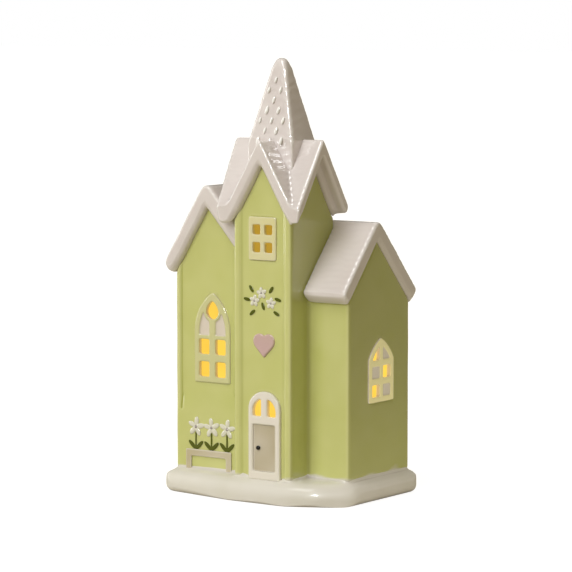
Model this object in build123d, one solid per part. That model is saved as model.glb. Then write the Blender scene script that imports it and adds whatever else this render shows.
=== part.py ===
from build123d import *
import math
import os

# Light-up ceramic village house, in millimetres. +Z is up and the front faces -Y.
# The origin is under the middle of the snow base, on the surface that it stands on.

# House plan: the wing is on the left, the tower in the middle, the nave behind and to the right
wing_width = 48.5
tower_width = 41.0
tower_depth = 45.0
nave_reach = 28.5
nave_depth = 65.5
wing_setback = 8.0
nave_setback = 18.0
wall = 3.6
corner_round = 1.6
overrun = 1.0

# Heights of the gables' points and slopes of the roofs; the wing and the nave are lopsided, as in the casting
wing_ridge = 172.1
wing_outer_pitch = 58.5
wing_inner_pitch = 48.5
tower_eave = 164.5
tower_pitch = 59.5
nave_ridge = 153.5
nave_ridge_forward = 2.8
nave_front_pitch = 49.0
nave_back_pitch = 47.0

# Roof slabs: thickness, how far they reach past the walls, and the stepped trim under the snow
wing_roof_thickness = 7.8
tower_roof_thickness = 7.0
nave_roof_thickness = 8.2
eave_reach = 6.0
rake_reach = 3.4
trim_reach = 2.2
nave_rake_reach = 1.4
nave_trim_reach = 0.6
trim_thickness = 2.6
wing_fascia = 4.4
nave_fascia = 3.2
snow_edge_share = 0.6
eave_step = 1.2
eave_drop = 2.0
tower_eave_drop = 1.0
tower_back_rise = 3.6
tower_right_reach = 8.0
tower_left_reach = 9.2
tower_left_prow = 5.0
ridge_round = 4.0
tip_round = 1.0

# Spire: a shaft over the crossing, wider than deep, then a pyramid with a blunt cap
spire_top = 260.0
spire_width = 31.6
spire_depth = 24.4
spire_left = 1.4
spire_foot = 210.0
spire_shoulder_share = 0.24
spire_cap_share = 0.15
spire_cap_height = 2.0
spire_round = 1.6
spire_hollow_share = 0.2
spire_hollow_top_share = 0.7

# Raised corner strips on the front walls
pilaster = 4.4
panel_depth = 1.2
wing_panel_bottom = 51.0

# Snow base
base_height = 13.7
side_lip = 6.0
front_lip = 9.0
back_lip = 7.0
wing_lip = 8.0
nave_lip = 10.0
base_corner = 11.0
base_top_round = 5.5
base_bottom_round = 4.4
base_floor = 4.0
foot_width = 7.0

# Window and door relief
frame_relief = 1.5
blind_depth = 1.4
wing_window_width = 25.0
wing_window_sill = 67.3
wing_window_spring = 97.0
wing_window_top = 120.0
wing_window_bulge = 3.3
wing_window_offset = 2.5
wing_window_rim = 3.3
wing_mullion = 4.4
wing_transom = 4.3
wing_pane_height = 8.9
wing_light_radius = 4.3
wing_light_height = 108.8
wing_light_point = 6.4
wing_light_bulge = 0.9
wing_tracery = 1.6
tower_window_width = 18.4
tower_window_height = 24.4
tower_window_sill = 143.1
tower_window_round = 1.0
tower_pane_width = 5.2
tower_pane_height = 5.6
tower_pane_pitch_x = 8.0
tower_pane_pitch_z = 10.0
nave_window_width = 25.0
nave_window_sill = 58.3
nave_window_spring = 83.0
nave_window_top = 95.0
nave_window_bulge = 1.3
nave_window_offset = 1.3
nave_window_rim = 3.1
nave_mullion = 3.2
nave_transom = 3.6
nave_pane_height = 7.0
door_width = 21.6
door_top = 65.1
door_offset = 1.4
leaf_width = 15.0
leaf_height = 27.0
leaf_sill = 5.0
leaf_sink = 1.1
fan_width = 15.6
fan_sill = 50.6
fan_top = 61.0
fan_mullion = 4.4
knob_radius = 1.3
knob_height = 1.4
knob_bevel = 0.5
knob_rise = 13.4
knob_inset = 3.2

# Applied ornaments on the front walls
sprig_relief = 0.8
heart_side = 8.0
heart_height = 91.2
heart_offset = 0.9
heart_relief = 1.1
spray_height = 118.6
petal_length = 2.5
petal_width = 1.9
petal_count = 5
flower_eye_radius = 0.75
flower_eye_relief = 0.4
leaf_length = 4.8
leaf_breadth = 2.0
spray_width = 24.0
spray_flower_shares = ((-0.04, 0.20), (-0.25, 0.0), (0.24, -0.04))
spray_leaf_shares = ((-0.34, 0.29), (0.25, 0.29), (-0.47, 0.03), (0.45, 0.06), (0.01, -0.12),
                     (-0.31, -0.29), (0.41, -0.28))
spray_leaf_turns = (125, 55, 170, 165, 110, 40, 150)
planter_width = 33.4
planter_top = 26.1
planter_bar = 4.1
planter_leg = 4.0
planter_relief = 1.8
planter_offset = 0.5
daisy_offset = 2.3
daisy_height = 39.6
daisy_pitch = 11.5
daisy_petal_length = 5.2
daisy_petal_width = 3.3
daisy_eye_radius = 1.1
daisy_stem_width = 1.0
daisy_leaf_length = 7.2
daisy_leaf_breadth = 2.4
daisy_leaf_lean = 46.0
daisy_relief = 1.2

# Lamp unit: how far it stands from the tower's and nave's middles, and its levels above the surface
lamp_left = 7.0
lamp_forward = 5.0
ground_gap = 0.6
flange_thickness = 1.6
flange_radius = 36.0
barrel_radius = 29.5
barrel_wall = 1.6
sleeve_wall = 2.0
sleeve_lip = 2.0
sleeve_lip_thickness = 1.4
slide_clearance = 0.3
soft_clearance = 0.3

# Cells and battery bay
cell_diameter = 10.5
cell_length = 44.5
cell_nub_length = 1.0
cell_nub_radius = 1.9
bay_clearance = 0.4
bay_wall = 1.4
bay_roof = 1.6
contact_plate = 0.5
contact_width = 7.0
contact_spring = 1.9
contact_leaf = 0.35
contact_gap = 0.2
tail_width = 2.0
tail_clearance = 0.3
dimple_radius = 1.8
spring_width = 4.6
spring_height = 5.6

# Battery door, its tabs and its captive screw
hatch_margin = 1.5
hatch_clearance = 0.3
tongue_width = 12.0
tongue_length = 8.0
ledge_thickness = 1.4
tab_width = 6.0
tab_length = 2.1
tab_thickness = 1.2
tab_pitch = 30.0
tab_sweep_height = 2.8
screw_shank_radius = 1.2
screw_head_radius = 2.4
screw_head_height = 0.8
screw_length = 4.0
screw_setback = 3.4
screw_slot_width = 0.6
screw_slot_depth = 0.4
boss_radius = 3.2
screw_clearance = 0.3
screw_bore_clearance = 0.8

# Slide switch
switch_length = 12.0
switch_breadth = 5.6
switch_height = 5.0
switch_setback = 20.6
slider_length = 3.0
slider_breadth = 2.4
slider_recess = 0.3
slider_depth_in_body = 1.7
switch_travel = 4.0
switch_clearance = 0.3
lead_radius = 0.6
lead_pitch = 6.0

# LED board and diffuser
board_gap = 3.0
board_radius = 26.4
board_thickness = 1.6
board_boss_radius = 3.0
board_boss_pitch = 32.0
board_screw_radius = 0.9
board_screw_head_radius = 1.9
board_screw_head = 1.3
board_screw_length = 4.2
led_radius = 2.5
led_collar_radius = 2.9
led_collar = 1.0
led_height = 8.4
led_bevel = 0.9
led_ring_radius = 9.0
led_count = 3
chip_length = 3.2
chip_breadth = 1.6
chip_height = 0.6
chip_setback = 15.0
rim_height = 1.6
diffuser_radius = 28.4
diffuser_top_radius = 23.0
diffuser_height = 14.0
diffuser_bevel = 0.8
diffuser_wall = 1.2
diffuser_skirt = 1.2

# Places that follow from the sizes above
house_width = wing_width + tower_width + nave_reach
house_depth = nave_setback + nave_depth
base_width = house_width + 2 * side_lip
base_depth = front_lip + house_depth + back_lip
wing_left = -house_width / 2
tower_left = wing_left + wing_width
tower_right = tower_left + tower_width
nave_right = tower_right + nave_reach
tower_front = front_lip - base_depth / 2
tower_back = tower_front + tower_depth
wing_front = tower_front + wing_setback
nave_front = tower_front + nave_setback
house_back = nave_front + nave_depth
wing_axis = wing_left + wing_width / 2
tower_axis = tower_left + tower_width / 2
crossing_axis = tower_front + tower_depth / 2
tower_top = tower_eave + tower_width / 2 * math.tan(math.radians(tower_pitch))
nave_axis = nave_front + nave_depth / 2
nave_crest = nave_axis - nave_ridge_forward
lamp_x = tower_axis - lamp_left
lamp_y = nave_axis - lamp_forward
tower_panel = tower_front + panel_depth
wing_panel = wing_front + panel_depth
flange_top = ground_gap + flange_thickness
floor_top = flange_top + base_floor
sleeve_radius = barrel_radius + slide_clearance
hole_radius = sleeve_radius + sleeve_wall


def slope(pitch):
    return math.tan(math.radians(pitch))


def upright(thickness, pitch):
    return thickness / math.cos(math.radians(pitch))


# The tower is a little deeper than wide, so its side gables are less steep and all ridges meet
tower_side_pitch = math.degrees(math.atan((tower_top - tower_eave) / (tower_depth / 2)))
tower_lift = upright(tower_roof_thickness, tower_pitch)
tower_trim_lift = upright(trim_thickness, tower_pitch)
wing_lift = upright(wing_roof_thickness, wing_outer_pitch)
wing_trim_lift = upright(trim_thickness, wing_outer_pitch)
nave_lift = upright(nave_roof_thickness, nave_front_pitch)
nave_trim_lift = upright(trim_thickness, nave_front_pitch)


def facing_front(y):
    return Plane(origin=(0, y, 0), x_dir=(1, 0, 0), z_dir=(0, -1, 0))


def facing_right(x):
    return Plane(origin=(x, 0, 0), x_dir=(0, 1, 0), z_dir=(1, 0, 0))


def along_y(outline, y_from, y_to):
    return extrude(facing_front(y_to) * outline, y_to - y_from)


def along_x(outline, x_from, x_to):
    return extrude(facing_right(x_from) * outline, x_to - x_from)


def block(x_from, x_to, y_from, y_to, z_from, z_to):
    middle = Pos((x_from + x_to) / 2, (y_from + y_to) / 2, (z_from + z_to) / 2)
    return middle * Box(x_to - x_from, y_to - y_from, z_to - z_from)


def disc(x, y, radius, z_from, z_to):
    return Pos(x, y, (z_from + z_to) / 2) * Cylinder(radius, z_to - z_from)


# Roof and wall outlines, across the ridge; each takes the ridge's place and height and the two slopes
def falls(left_pitch, right_pitch):
    return slope(left_pitch), slope(right_pitch)


def gable(left, right, crest, top, pitches, foot):
    left_fall, right_fall = falls(*pitches)
    left_eave = top - (crest - left) * left_fall
    right_eave = top - (right - crest) * right_fall
    walls_and_slopes = ((left, foot), (right, foot), (right, right_eave), (crest, top), (left, left_eave))
    return Polygon(*walls_and_slopes, align=None)


def eave_profile(edge, side, crest, ridge, top, fall, fascia):
    tip = edge + side * eave_reach
    tip_top = top - abs(tip - crest) * fall
    snow_low = tip_top - fascia * snow_edge_share
    step = tip - side * eave_step
    eave = ridge - abs(edge - crest) * fall
    snow_edge = [(tip, tip_top), (tip, snow_low), (step, snow_low)]
    return snow_edge + [(step, tip_top - fascia), (edge, eave - eave_drop), (edge, eave)]


def slab(left, right, crest, ridge, pitches, lift, fascia):
    top = ridge + lift
    left_fall, right_fall = falls(*pitches)
    left_side = eave_profile(left, -1, crest, ridge, top, left_fall, fascia)
    right_side = eave_profile(right, 1, crest, ridge, top, right_fall, fascia)
    outline = Polygon((crest, top), *left_side, (crest, ridge), *reversed(right_side), align=None)
    outline = fillet(outline.vertices().sort_by(Axis.Y)[-1], ridge_round)
    past_wall = eave_reach - eave_step / 2
    tips = [corner for corner in outline.vertices()
            if corner.X < left - past_wall or corner.X > right + past_wall]
    return fillet(tips, tip_round)


# Blocks that the walls and roofs are cut from
wing_pitches = (wing_outer_pitch, wing_inner_pitch)
nave_pitches = (nave_front_pitch, nave_back_pitch)
tower_pitches = (tower_pitch, tower_pitch)
side_pitches = (tower_side_pitch, tower_side_pitch)


def wing_prism(lift, reach, y_from, y_to, foot=base_height):
    outline = gable(wing_left - reach, tower_left + reach, wing_axis, wing_ridge + lift, wing_pitches, foot)
    return along_y(outline, y_from, y_to)


def nave_prism(lift, reach, x_from, x_to, foot=base_height):
    outline = gable(nave_front - reach, house_back + reach, nave_crest, nave_ridge + lift, nave_pitches, foot)
    return along_x(outline, x_from, x_to)


def tower_front_tent(lift, reach, foot, y_from, y_to):
    top = tower_top + lift
    outline = gable(tower_left - reach, tower_right + reach, tower_axis, top, tower_pitches, foot)
    return along_y(outline, y_from, y_to)


def tower_side_tent(lift, reach, foot, x_from, x_to):
    top = tower_top + lift
    outline = gable(tower_front - reach, tower_back + reach, crossing_axis, top, side_pitches, foot)
    return along_x(outline, x_from, x_to)


def tower_tents(lift, reach, foot):
    front = tower_front_tent(lift, 0, foot, tower_front - reach, tower_back + reach)
    return front + tower_side_tent(lift, 0, foot, tower_left - reach, tower_right + reach)


wing_block = wing_prism(0, 0, wing_front, house_back)
nave_block = nave_prism(0, 0, wing_axis, nave_right)
tower_block = tower_tents(0, 0, base_height)


# The same blocks with their outer upright corners softened
def softened(blank, chosen):
    return fillet(blank.edges().filter_by(Axis.Z).filter_by(chosen), corner_round)


soft_wing = softened(wing_block, lambda edge: edge.center().X < wing_axis)
soft_nave = softened(nave_block, lambda edge: edge.center().X > tower_right)
soft_tower = softened(tower_block, lambda edge: edge.center().Y < crossing_axis)


# Hollow of the house, one chamber from the base floor up to the undersides of the roofs
def hollow(foot):
    chamber = wing_prism(0, -wall, wing_front + wall, house_back - wall, foot)
    chamber += nave_prism(0, -wall, wing_axis, nave_right - wall, foot)
    chamber += tower_front_tent(0, -wall, foot, tower_front + wall, tower_back - wall)
    chamber += tower_side_tent(0, -wall, foot, tower_left + wall, tower_right - wall)
    passage_top = wing_ridge - wing_width / 2 * slope(wing_outer_pitch) - wall
    chamber += block(tower_left - 2 * wall, tower_left + 2 * wall, wing_front + wall, tower_back - wall,
                     foot, passage_top)
    return chamber


# Window outlines, drawn about their own middle
def bowed(start, end, bulge):
    across, up = end[0] - start[0], end[1] - start[1]
    length = math.hypot(across, up)
    middle_x = (start[0] + end[0]) / 2 + up / length * bulge
    middle_z = (start[1] + end[1]) / 2 - across / length * bulge
    return ThreePointArc(start, (middle_x, middle_z), end)


def pointed_arch(width, sill, spring, top, bulge):
    half = width / 2
    lines = Polyline((-half, spring), (-half, sill), (half, sill), (half, spring))
    right = bowed((half, spring), (0, top), bulge)
    left = bowed((0, top), (-half, spring), bulge)
    return make_face([*lines.edges(), right, left])


def round_arch(width, sill, top):
    half = width / 2
    spring = top - half
    lines = Polyline((-half, spring), (-half, sill), (half, sill), (half, spring))
    return make_face([*lines.edges(), ThreePointArc((half, spring), (0, top), (-half, spring))])


def pointed_drop(radius, z, point, bulge):
    bowl = ThreePointArc((-radius, z), (0, z - radius), (radius, z))
    right = bowed((radius, z), (0, z + point), bulge)
    left = bowed((0, z + point), (-radius, z), bulge)
    return make_face([bowl, right, left])


def band(width, z_from, z_to):
    return Pos(0, (z_from + z_to) / 2) * Rectangle(width, z_to - z_from)


def fill_wall(outline, face, relief):
    back = Plane(origin=face.origin - face.z_dir * (wall - panel_depth), x_dir=face.x_dir, z_dir=face.z_dir)
    return extrude(back * outline, wall - panel_depth + relief)


def pierce(outline, face):
    reach = wall + frame_relief + overrun
    return extrude(face * outline, reach, both=True)


def sink(outline, face, relief, depth):
    front = Plane(origin=face.origin + face.z_dir * relief, x_dir=face.x_dir, z_dir=face.z_dir)
    return extrude(front * outline, -depth)


def at(face, across):
    return Plane(origin=face.origin + face.x_dir * across, x_dir=face.x_dir, z_dir=face.z_dir)


tower_face = at(facing_front(tower_panel), tower_axis)
wing_face = at(facing_front(wing_panel), wing_axis)
wing_low_face = at(facing_front(wing_front), wing_axis)
nave_face = at(facing_right(nave_right), nave_axis)

# Wing window: four square panes, two blind lancets and a pointed light under the point
wing_window_face = at(wing_face, wing_window_offset)
wing_window_outline = pointed_arch(wing_window_width, wing_window_sill, wing_window_spring, wing_window_top,
                                   wing_window_bulge)
wing_field = offset(wing_window_outline, -wing_window_rim)
wing_field -= band(wing_mullion, wing_window_sill, wing_window_top)
wing_pane_low = wing_window_sill + wing_window_rim
wing_transom_low = wing_pane_low + wing_pane_height
wing_tracery_low = wing_transom_low + wing_transom + wing_pane_height
wing_panes = wing_field & band(wing_window_width, wing_window_sill, wing_tracery_low)
wing_panes -= band(wing_window_width, wing_transom_low, wing_transom_low + wing_transom)
wing_light = pointed_drop(wing_light_radius, wing_light_height, wing_light_point, wing_light_bulge)
blind_top = wing_light_height + wing_light_radius
wing_blinds = wing_field & band(wing_window_width, wing_tracery_low + wing_transom / 2, blind_top)
wing_blinds -= Pos(0, wing_light_height) * Circle(wing_light_radius + wing_tracery)
wing_window = fill_wall(wing_window_outline, wing_window_face, frame_relief)
for pane in [*wing_panes.faces(), wing_light]:
    wing_window -= pierce(pane, wing_window_face)
for blind in wing_blinds.faces():
    wing_window -= sink(blind, wing_window_face, frame_relief, blind_depth)

# Tower window: four small panes in a rounded square frame
tower_window_outline = Pos(0, tower_window_sill + tower_window_height / 2) * RectangleRounded(
    tower_window_width, tower_window_height, tower_window_round)
tower_pane_low = tower_window_sill + (tower_window_height - tower_pane_pitch_z - tower_pane_height) / 2
tower_window = fill_wall(tower_window_outline, tower_face, frame_relief)
for column in (-1, 1):
    for row in (0, 1):
        z = tower_pane_low + row * tower_pane_pitch_z
        pane = Pos(column * tower_pane_pitch_x / 2, 0) * band(tower_pane_width, z, z + tower_pane_height)
        tower_window -= pierce(pane, tower_face)

# Nave window: six panes under a pointed top, pierced in turn like a chequerboard
nave_window_face = at(nave_face, nave_window_offset)
nave_window_outline = pointed_arch(nave_window_width, nave_window_sill, nave_window_spring, nave_window_top,
                                   nave_window_bulge)
nave_field = offset(nave_window_outline, -nave_window_rim)
nave_field -= band(nave_mullion, nave_window_sill, nave_window_top)
for row in (1, 2):
    transom_top = nave_window_sill + nave_window_rim + row * (nave_pane_height + nave_transom)
    nave_field -= band(nave_window_width, transom_top - nave_transom, transom_top)
nave_window = fill_wall(nave_window_outline, nave_window_face, frame_relief)
left_column, right_column = nave_field.faces().sort_by(Axis.X).group_by(lambda pane: pane.center().X > 0)
for column, first_pierced in ((left_column, 0), (right_column, 1)):
    for row, pane in enumerate(column.sort_by(Axis.Y)):
        if row % 2 == first_pierced:
            nave_window -= pierce(pane, nave_window_face)
        else:
            nave_window -= sink(pane, nave_window_face, frame_relief, blind_depth)

# Door: arched surround with a two-light fan, and the leaf sunk into it
door_face = at(tower_face, door_offset)
door_outline = round_arch(door_width, base_height, door_top)
leaf_low = base_height + leaf_sill
leaf_outline = Pos(0, leaf_low + leaf_height / 2) * Rectangle(leaf_width, leaf_height)
fan_outline = round_arch(fan_width, fan_sill, fan_top)
fan_outline -= Pos(0, (fan_sill + fan_top) / 2) * Rectangle(fan_mullion, 2 * (fan_top - fan_sill))
door_surround = fill_wall(door_outline, door_face, frame_relief)
door_surround -= pierce(fan_outline, door_face)
door_surround -= pierce(leaf_outline, door_face)
door_leaf = fill_wall(leaf_outline, door_face, frame_relief - leaf_sink)
knob_spot = Pos(knob_inset - leaf_width / 2, leaf_low + knob_rise)
knob_face = Plane(origin=door_face.origin + door_face.z_dir * (frame_relief - leaf_sink),
                  x_dir=door_face.x_dir, z_dir=door_face.z_dir)
door_knob = extrude(knob_face * knob_spot * Circle(knob_radius), knob_height)
door_knob = chamfer(door_knob.faces().sort_by(Axis.Y)[0].edges(), knob_bevel)

# Walls: three blocks made one, hollowed, with sunk panels on the front and openings for the frames
tower_panel_outline = gable(tower_left + pilaster, tower_right - pilaster, tower_axis, tower_top,
                            tower_pitches, base_height)
wing_panel_outline = gable(wing_left + pilaster, tower_left - pilaster, wing_axis, wing_ridge,
                           wing_pitches, wing_panel_bottom)
wall_shell = soft_wing + soft_nave + soft_tower
wall_shell -= hollow(base_height)
wall_shell -= along_y(tower_panel_outline, tower_front - overrun, tower_panel)
wall_shell -= along_y(wing_panel_outline, wing_front - overrun, wing_panel)
for outline, face in ((wing_window_outline, wing_window_face), (tower_window_outline, tower_face),
                      (nave_window_outline, nave_window_face), (door_outline, door_face)):
    wall_shell -= pierce(outline, face)


# Roofs: slabs with rounded ridges and tips, and a trim band that steps back at the gable ends
def wing_trim(y_from, y_to):
    return wing_prism(wing_trim_lift, eave_reach, y_from, y_to)


wing_slab = slab(wing_left, tower_left, wing_axis, wing_ridge, wing_pitches, wing_lift, wing_fascia)
wing_roof = along_y(wing_slab, wing_front - rake_reach, house_back + rake_reach)
wing_roof -= wing_trim(wing_front - rake_reach - overrun, wing_front - trim_reach)
wing_roof -= wing_trim(house_back + trim_reach, house_back + rake_reach + overrun)
wing_roof -= tower_block + nave_block
nave_slab = slab(nave_front, house_back, nave_crest, nave_ridge, nave_pitches, nave_lift, nave_fascia)
nave_roof = along_x(nave_slab, wing_axis, nave_right + nave_rake_reach)
nave_roof -= nave_prism(nave_trim_lift, eave_reach, nave_right + nave_trim_reach,
                        nave_right + nave_rake_reach + overrun)
wing_cover = wing_prism(wing_lift, 0, wing_front, house_back + eave_reach + overrun)
nave_roof -= wing_cover + tower_block
nave_roof -= wing_roof

# Tower roof: two tents that cross, thickened, with short eaves only at the four corners
tower_foot = tower_eave - tower_eave_drop
tower_roof = tower_tents(tower_lift, 0, tower_foot)
left_foot = tower_left - tower_left_reach
left_end = left_foot - tower_left_prow
right_end = tower_right + tower_right_reach
ends_y = ((tower_front - rake_reach, tower_front), (tower_back, tower_back + rake_reach))
ends_x = ((left_end, tower_left), (tower_right, right_end))
for low, high in ends_y:
    tower_roof += tower_front_tent(tower_lift, rake_reach, tower_foot, low, high)
for low, high in ends_x:
    tower_roof += tower_side_tent(tower_lift, rake_reach, tower_foot, low, high)
clear = tower_left_reach + tower_left_prow + overrun
tower_roof -= tower_front_tent(0, clear, base_height, tower_front - clear, tower_back + clear)
tower_roof -= tower_side_tent(0, clear, base_height, tower_left - clear, tower_right + clear)
tower_roof -= tower_block
rakes_y = ((tower_front - clear, tower_front - trim_reach), (tower_back + trim_reach, tower_back + clear))
rakes_x = ((left_end - overrun, left_foot), (tower_right + trim_reach, right_end + overrun))
for low, high in rakes_y:
    tower_roof -= tower_front_tent(tower_trim_lift, clear, base_height, low, high)
for low, high in rakes_x:
    tower_roof -= tower_side_tent(tower_trim_lift, clear, base_height, low, high)

# The left gable leans out towards its ridge like a prow, and the eaves behind the crossing end higher
prow_top = tower_top + tower_lift + overrun
prow = Polygon((left_end, prow_top), (left_end, tower_foot), (left_foot, tower_foot), align=None)
tower_roof -= along_y(prow, tower_front - clear, tower_back + clear)
back_cut = block(tower_left - clear, tower_right + clear, crossing_axis, tower_back + clear,
                 tower_foot - overrun, tower_eave + tower_back_rise)
back_cut -= block(tower_left, tower_right, crossing_axis - overrun, tower_back, tower_foot - 2 * overrun,
                  tower_top)
tower_roof -= back_cut
tower_roof -= wing_roof


# Spire: rises out of the valleys where the four gables cross
def steeple(width, depth, stages):
    spot = Pos(tower_axis - spire_left, crossing_axis)
    sections = [spot * Pos(0, 0, z) * RectangleRounded(share * width, share * depth, spire_round)
                for share, z in stages]
    return loft(sections, ruled=True)


shoulder = spire_top - spire_cap_height
hollow_top = spire_foot + (spire_top - spire_foot) * spire_hollow_top_share
spire = steeple(spire_width, spire_depth, ((1, tower_eave), (1, spire_foot), (spire_shoulder_share, shoulder),
                                           (spire_cap_share, spire_top)))
spire -= tower_tents(tower_lift, rake_reach, base_height)
spire -= steeple(spire_width - 2 * wall, spire_depth - 2 * wall,
                 ((1, tower_eave), (1, spire_foot), (spire_hollow_share, hollow_top)))


# Ornaments in low relief
def petals(spot, length, width, turn):
    flower = Sketch()
    for number in range(petal_count):
        angle = turn + number * 360 / petal_count
        flower += spot * Rot(0, 0, angle) * Pos(length / 2, 0) * Ellipse(length / 2, width / 2)
    return flower


def group(pieces):
    return Compound(children=[solid for piece in pieces for solid in piece.solids()])


heart_spot = Pos(heart_offset, heart_height)
lobe = heart_side / math.sqrt(8)
heart_outline = heart_spot * Rot(0, 0, 45) * Rectangle(heart_side, heart_side)
heart_outline += heart_spot * Pos(-lobe, lobe) * Circle(heart_side / 2)
heart_outline += heart_spot * Pos(lobe, lobe) * Circle(heart_side / 2)
heart = extrude(tower_face * heart_outline, heart_relief)

spray_flower_list = []
spray_centre_list = []
for x_share, z_share in spray_flower_shares:
    spot = Pos(x_share * spray_width, spray_height + z_share * spray_width)
    eye = Circle(flower_eye_radius)
    flower = petals(spot, petal_length, petal_width, 90) + spot * eye
    spray_flower_list.append(extrude(tower_face * flower, sprig_relief))
    spray_centre_list.append(sink(spot * eye, tower_face, sprig_relief, -flower_eye_relief))
spray_leaf_list = []
for (x_share, z_share), turn in zip(spray_leaf_shares, spray_leaf_turns):
    spot = Pos(x_share * spray_width, spray_height + z_share * spray_width)
    leaf = spot * Rot(0, 0, turn) * Ellipse(leaf_length / 2, leaf_breadth / 2)
    spray_leaf_list.append(extrude(tower_face * leaf, sprig_relief))

planter_face = at(wing_low_face, planter_offset)
daisy_face = at(wing_low_face, daisy_offset)
bar_low = planter_top - planter_bar
trough = Pos(0, planter_top - planter_bar / 2) * Rectangle(planter_width, planter_bar)
planter = extrude(planter_face * trough, planter_relief)
leg_height = bar_low - base_height
for side in (-1, 1):
    leg_x = side * (planter_width - planter_leg) / 2
    leg = Pos(leg_x, base_height + leg_height / 2) * Rectangle(planter_leg, leg_height)
    planter += extrude(planter_face * leg, planter_relief)

daisy_head_list = []
daisy_centre_list = []
daisy_stem_list = []
for number in (-1, 0, 1):
    spot = Pos(number * daisy_pitch, daisy_height)
    eye = Circle(daisy_eye_radius)
    head = petals(spot, daisy_petal_length, daisy_petal_width, 90) + spot * eye
    stem_height = daisy_height - planter_top
    root = Pos(number * daisy_pitch, planter_top)
    stem = root * Pos(0, stem_height / 2) * Rectangle(daisy_stem_width, stem_height)
    for side in (-1, 1):
        blade = root * Rot(0, 0, 90 - side * daisy_leaf_lean) * Pos(daisy_leaf_length / 2, 0)
        stem += blade * Ellipse(daisy_leaf_length / 2, daisy_leaf_breadth / 2)
    stem -= root * Pos(0, -daisy_leaf_length / 2) * Rectangle(planter_width, daisy_leaf_length)
    stem -= head
    daisy_head_list.append(extrude(daisy_face * head, daisy_relief))
    daisy_centre_list.append(sink(spot * eye, daisy_face, daisy_relief, -flower_eye_relief))
    daisy_stem_list.append(extrude(daisy_face * stem, sprig_relief))

# Snow base: a soft-edged tray that follows the plan loosely, with a foot ring and the lamp hole
base_outline = Polygon(
    (-base_width / 2, wing_front - wing_lip), (tower_left, -base_depth / 2), (tower_right, -base_depth / 2),
    (base_width / 2, nave_front - nave_lip), (base_width / 2, base_depth / 2),
    (-base_width / 2, base_depth / 2), align=None)
base_outline = fillet(base_outline.vertices(), base_corner)
snow_base = extrude(base_outline, base_height)
snow_base = fillet(snow_base.faces().sort_by(Axis.Z)[-1].edges(), base_top_round)
snow_base = fillet(snow_base.faces().sort_by(Axis.Z)[0].edges(), base_bottom_round)
snow_base -= extrude(offset(base_outline, -foot_width), flange_top)
snow_base -= hollow(floor_top) & extrude(Pos(0, 0, floor_top) * base_outline, base_height - floor_top)
snow_base -= disc(lamp_x, lamp_y, hole_radius, flange_top, base_height)
lip_top = floor_top + sleeve_lip_thickness
lip_room = hole_radius + sleeve_lip + soft_clearance
snow_base -= disc(lamp_x, lamp_y, lip_room, floor_top, lip_top + soft_clearance)

# Lamp unit levels
bay_top = flange_top + cell_diameter + 2 * bay_clearance
bay_roof_top = bay_top + bay_roof
board_low = bay_roof_top + board_gap
board_top = board_low + board_thickness
rim = board_top + rim_height
contact_room = contact_plate + contact_spring + contact_gap
bay_half_x = cell_length / 2 + contact_room
bay_half_y = (2 * cell_diameter + 3 * bay_clearance) / 2
cell_y = (cell_diameter + bay_clearance) / 2
cell_z = flange_top + bay_clearance + cell_diameter / 2
hatch_half_x = bay_half_x + hatch_margin
hatch_front = lamp_y - bay_half_y - bay_wall - hatch_clearance
hatch_back = lamp_y + bay_half_y + hatch_margin
tongue_back = hatch_back + tongue_length
screw_y = tongue_back - screw_setback
switch_y = lamp_y - switch_setback


# A box of the lamp unit, given about its axis
def lamp_block(half_x, y_from, y_to, z_from, z_to):
    return block(lamp_x - half_x, lamp_x + half_x, y_from, y_to, z_from, z_to)


# Sleeve: soft ring in the base hole, with a lip over the floor inside
mounting_sleeve = disc(lamp_x, lamp_y, hole_radius, flange_top, lip_top)
mounting_sleeve += disc(lamp_x, lamp_y, hole_radius + sleeve_lip, floor_top, lip_top)
mounting_sleeve -= disc(lamp_x, lamp_y, sleeve_radius, 0, base_height)


# Battery door outline, wider by a clearance for the hole that it closes
def hatch_plan(extra, z_from, z_to):
    plan = lamp_block(hatch_half_x + extra, hatch_front - extra, hatch_back + extra, z_from, z_to)
    return plan + lamp_block(tongue_width / 2 + extra, hatch_back, tongue_back + extra, z_from, z_to)


def tabs(extra, z_to):
    pieces = []
    for side in (-1, 1):
        middle = lamp_x + side * tab_pitch / 2
        half = tab_width / 2 + extra
        pieces.append(block(middle - half, middle + half, hatch_front - tab_length - extra,
                            hatch_front + bay_wall + extra, flange_top, z_to))
    return pieces


# Housing: cup, flange, battery bay with its roof, door ledge, screw boss and board bosses
ledge_top = flange_top + ledge_thickness
lamp_housing = disc(lamp_x, lamp_y, flange_radius, ground_gap, flange_top)
cup = disc(lamp_x, lamp_y, barrel_radius, flange_top, rim)
cup -= disc(lamp_x, lamp_y, barrel_radius - barrel_wall, flange_top, rim)
bay = lamp_block(bay_half_x + bay_wall, lamp_y - bay_half_y - bay_wall, lamp_y + bay_half_y + bay_wall,
                 flange_top, bay_roof_top)
ledge = hatch_plan(bay_wall, flange_top, ledge_top)
inside_cup = disc(lamp_x, lamp_y, barrel_radius, flange_top, rim)
lamp_housing += cup + ((bay + ledge) & inside_cup)
lamp_housing += disc(lamp_x, screw_y, boss_radius, flange_top, bay_top)
for side in (-1, 1):
    boss_x = lamp_x + side * board_boss_pitch / 2
    lamp_housing += disc(boss_x, lamp_y, board_boss_radius, bay_roof_top, board_low)
lamp_housing -= lamp_block(bay_half_x, lamp_y - bay_half_y, lamp_y + bay_half_y, ground_gap, bay_top)
lamp_housing -= hatch_plan(hatch_clearance, ground_gap, flange_top)
for notch in tabs(hatch_clearance, flange_top + tab_sweep_height):
    lamp_housing -= notch
screw_top = ground_gap + screw_head_height + screw_length
screw_bore_radius = screw_shank_radius + screw_bore_clearance
lamp_housing -= disc(lamp_x, screw_y, screw_bore_radius, ground_gap, screw_top + screw_bore_clearance)
slot_half = (slider_length + switch_travel) / 2 + switch_clearance
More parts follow.
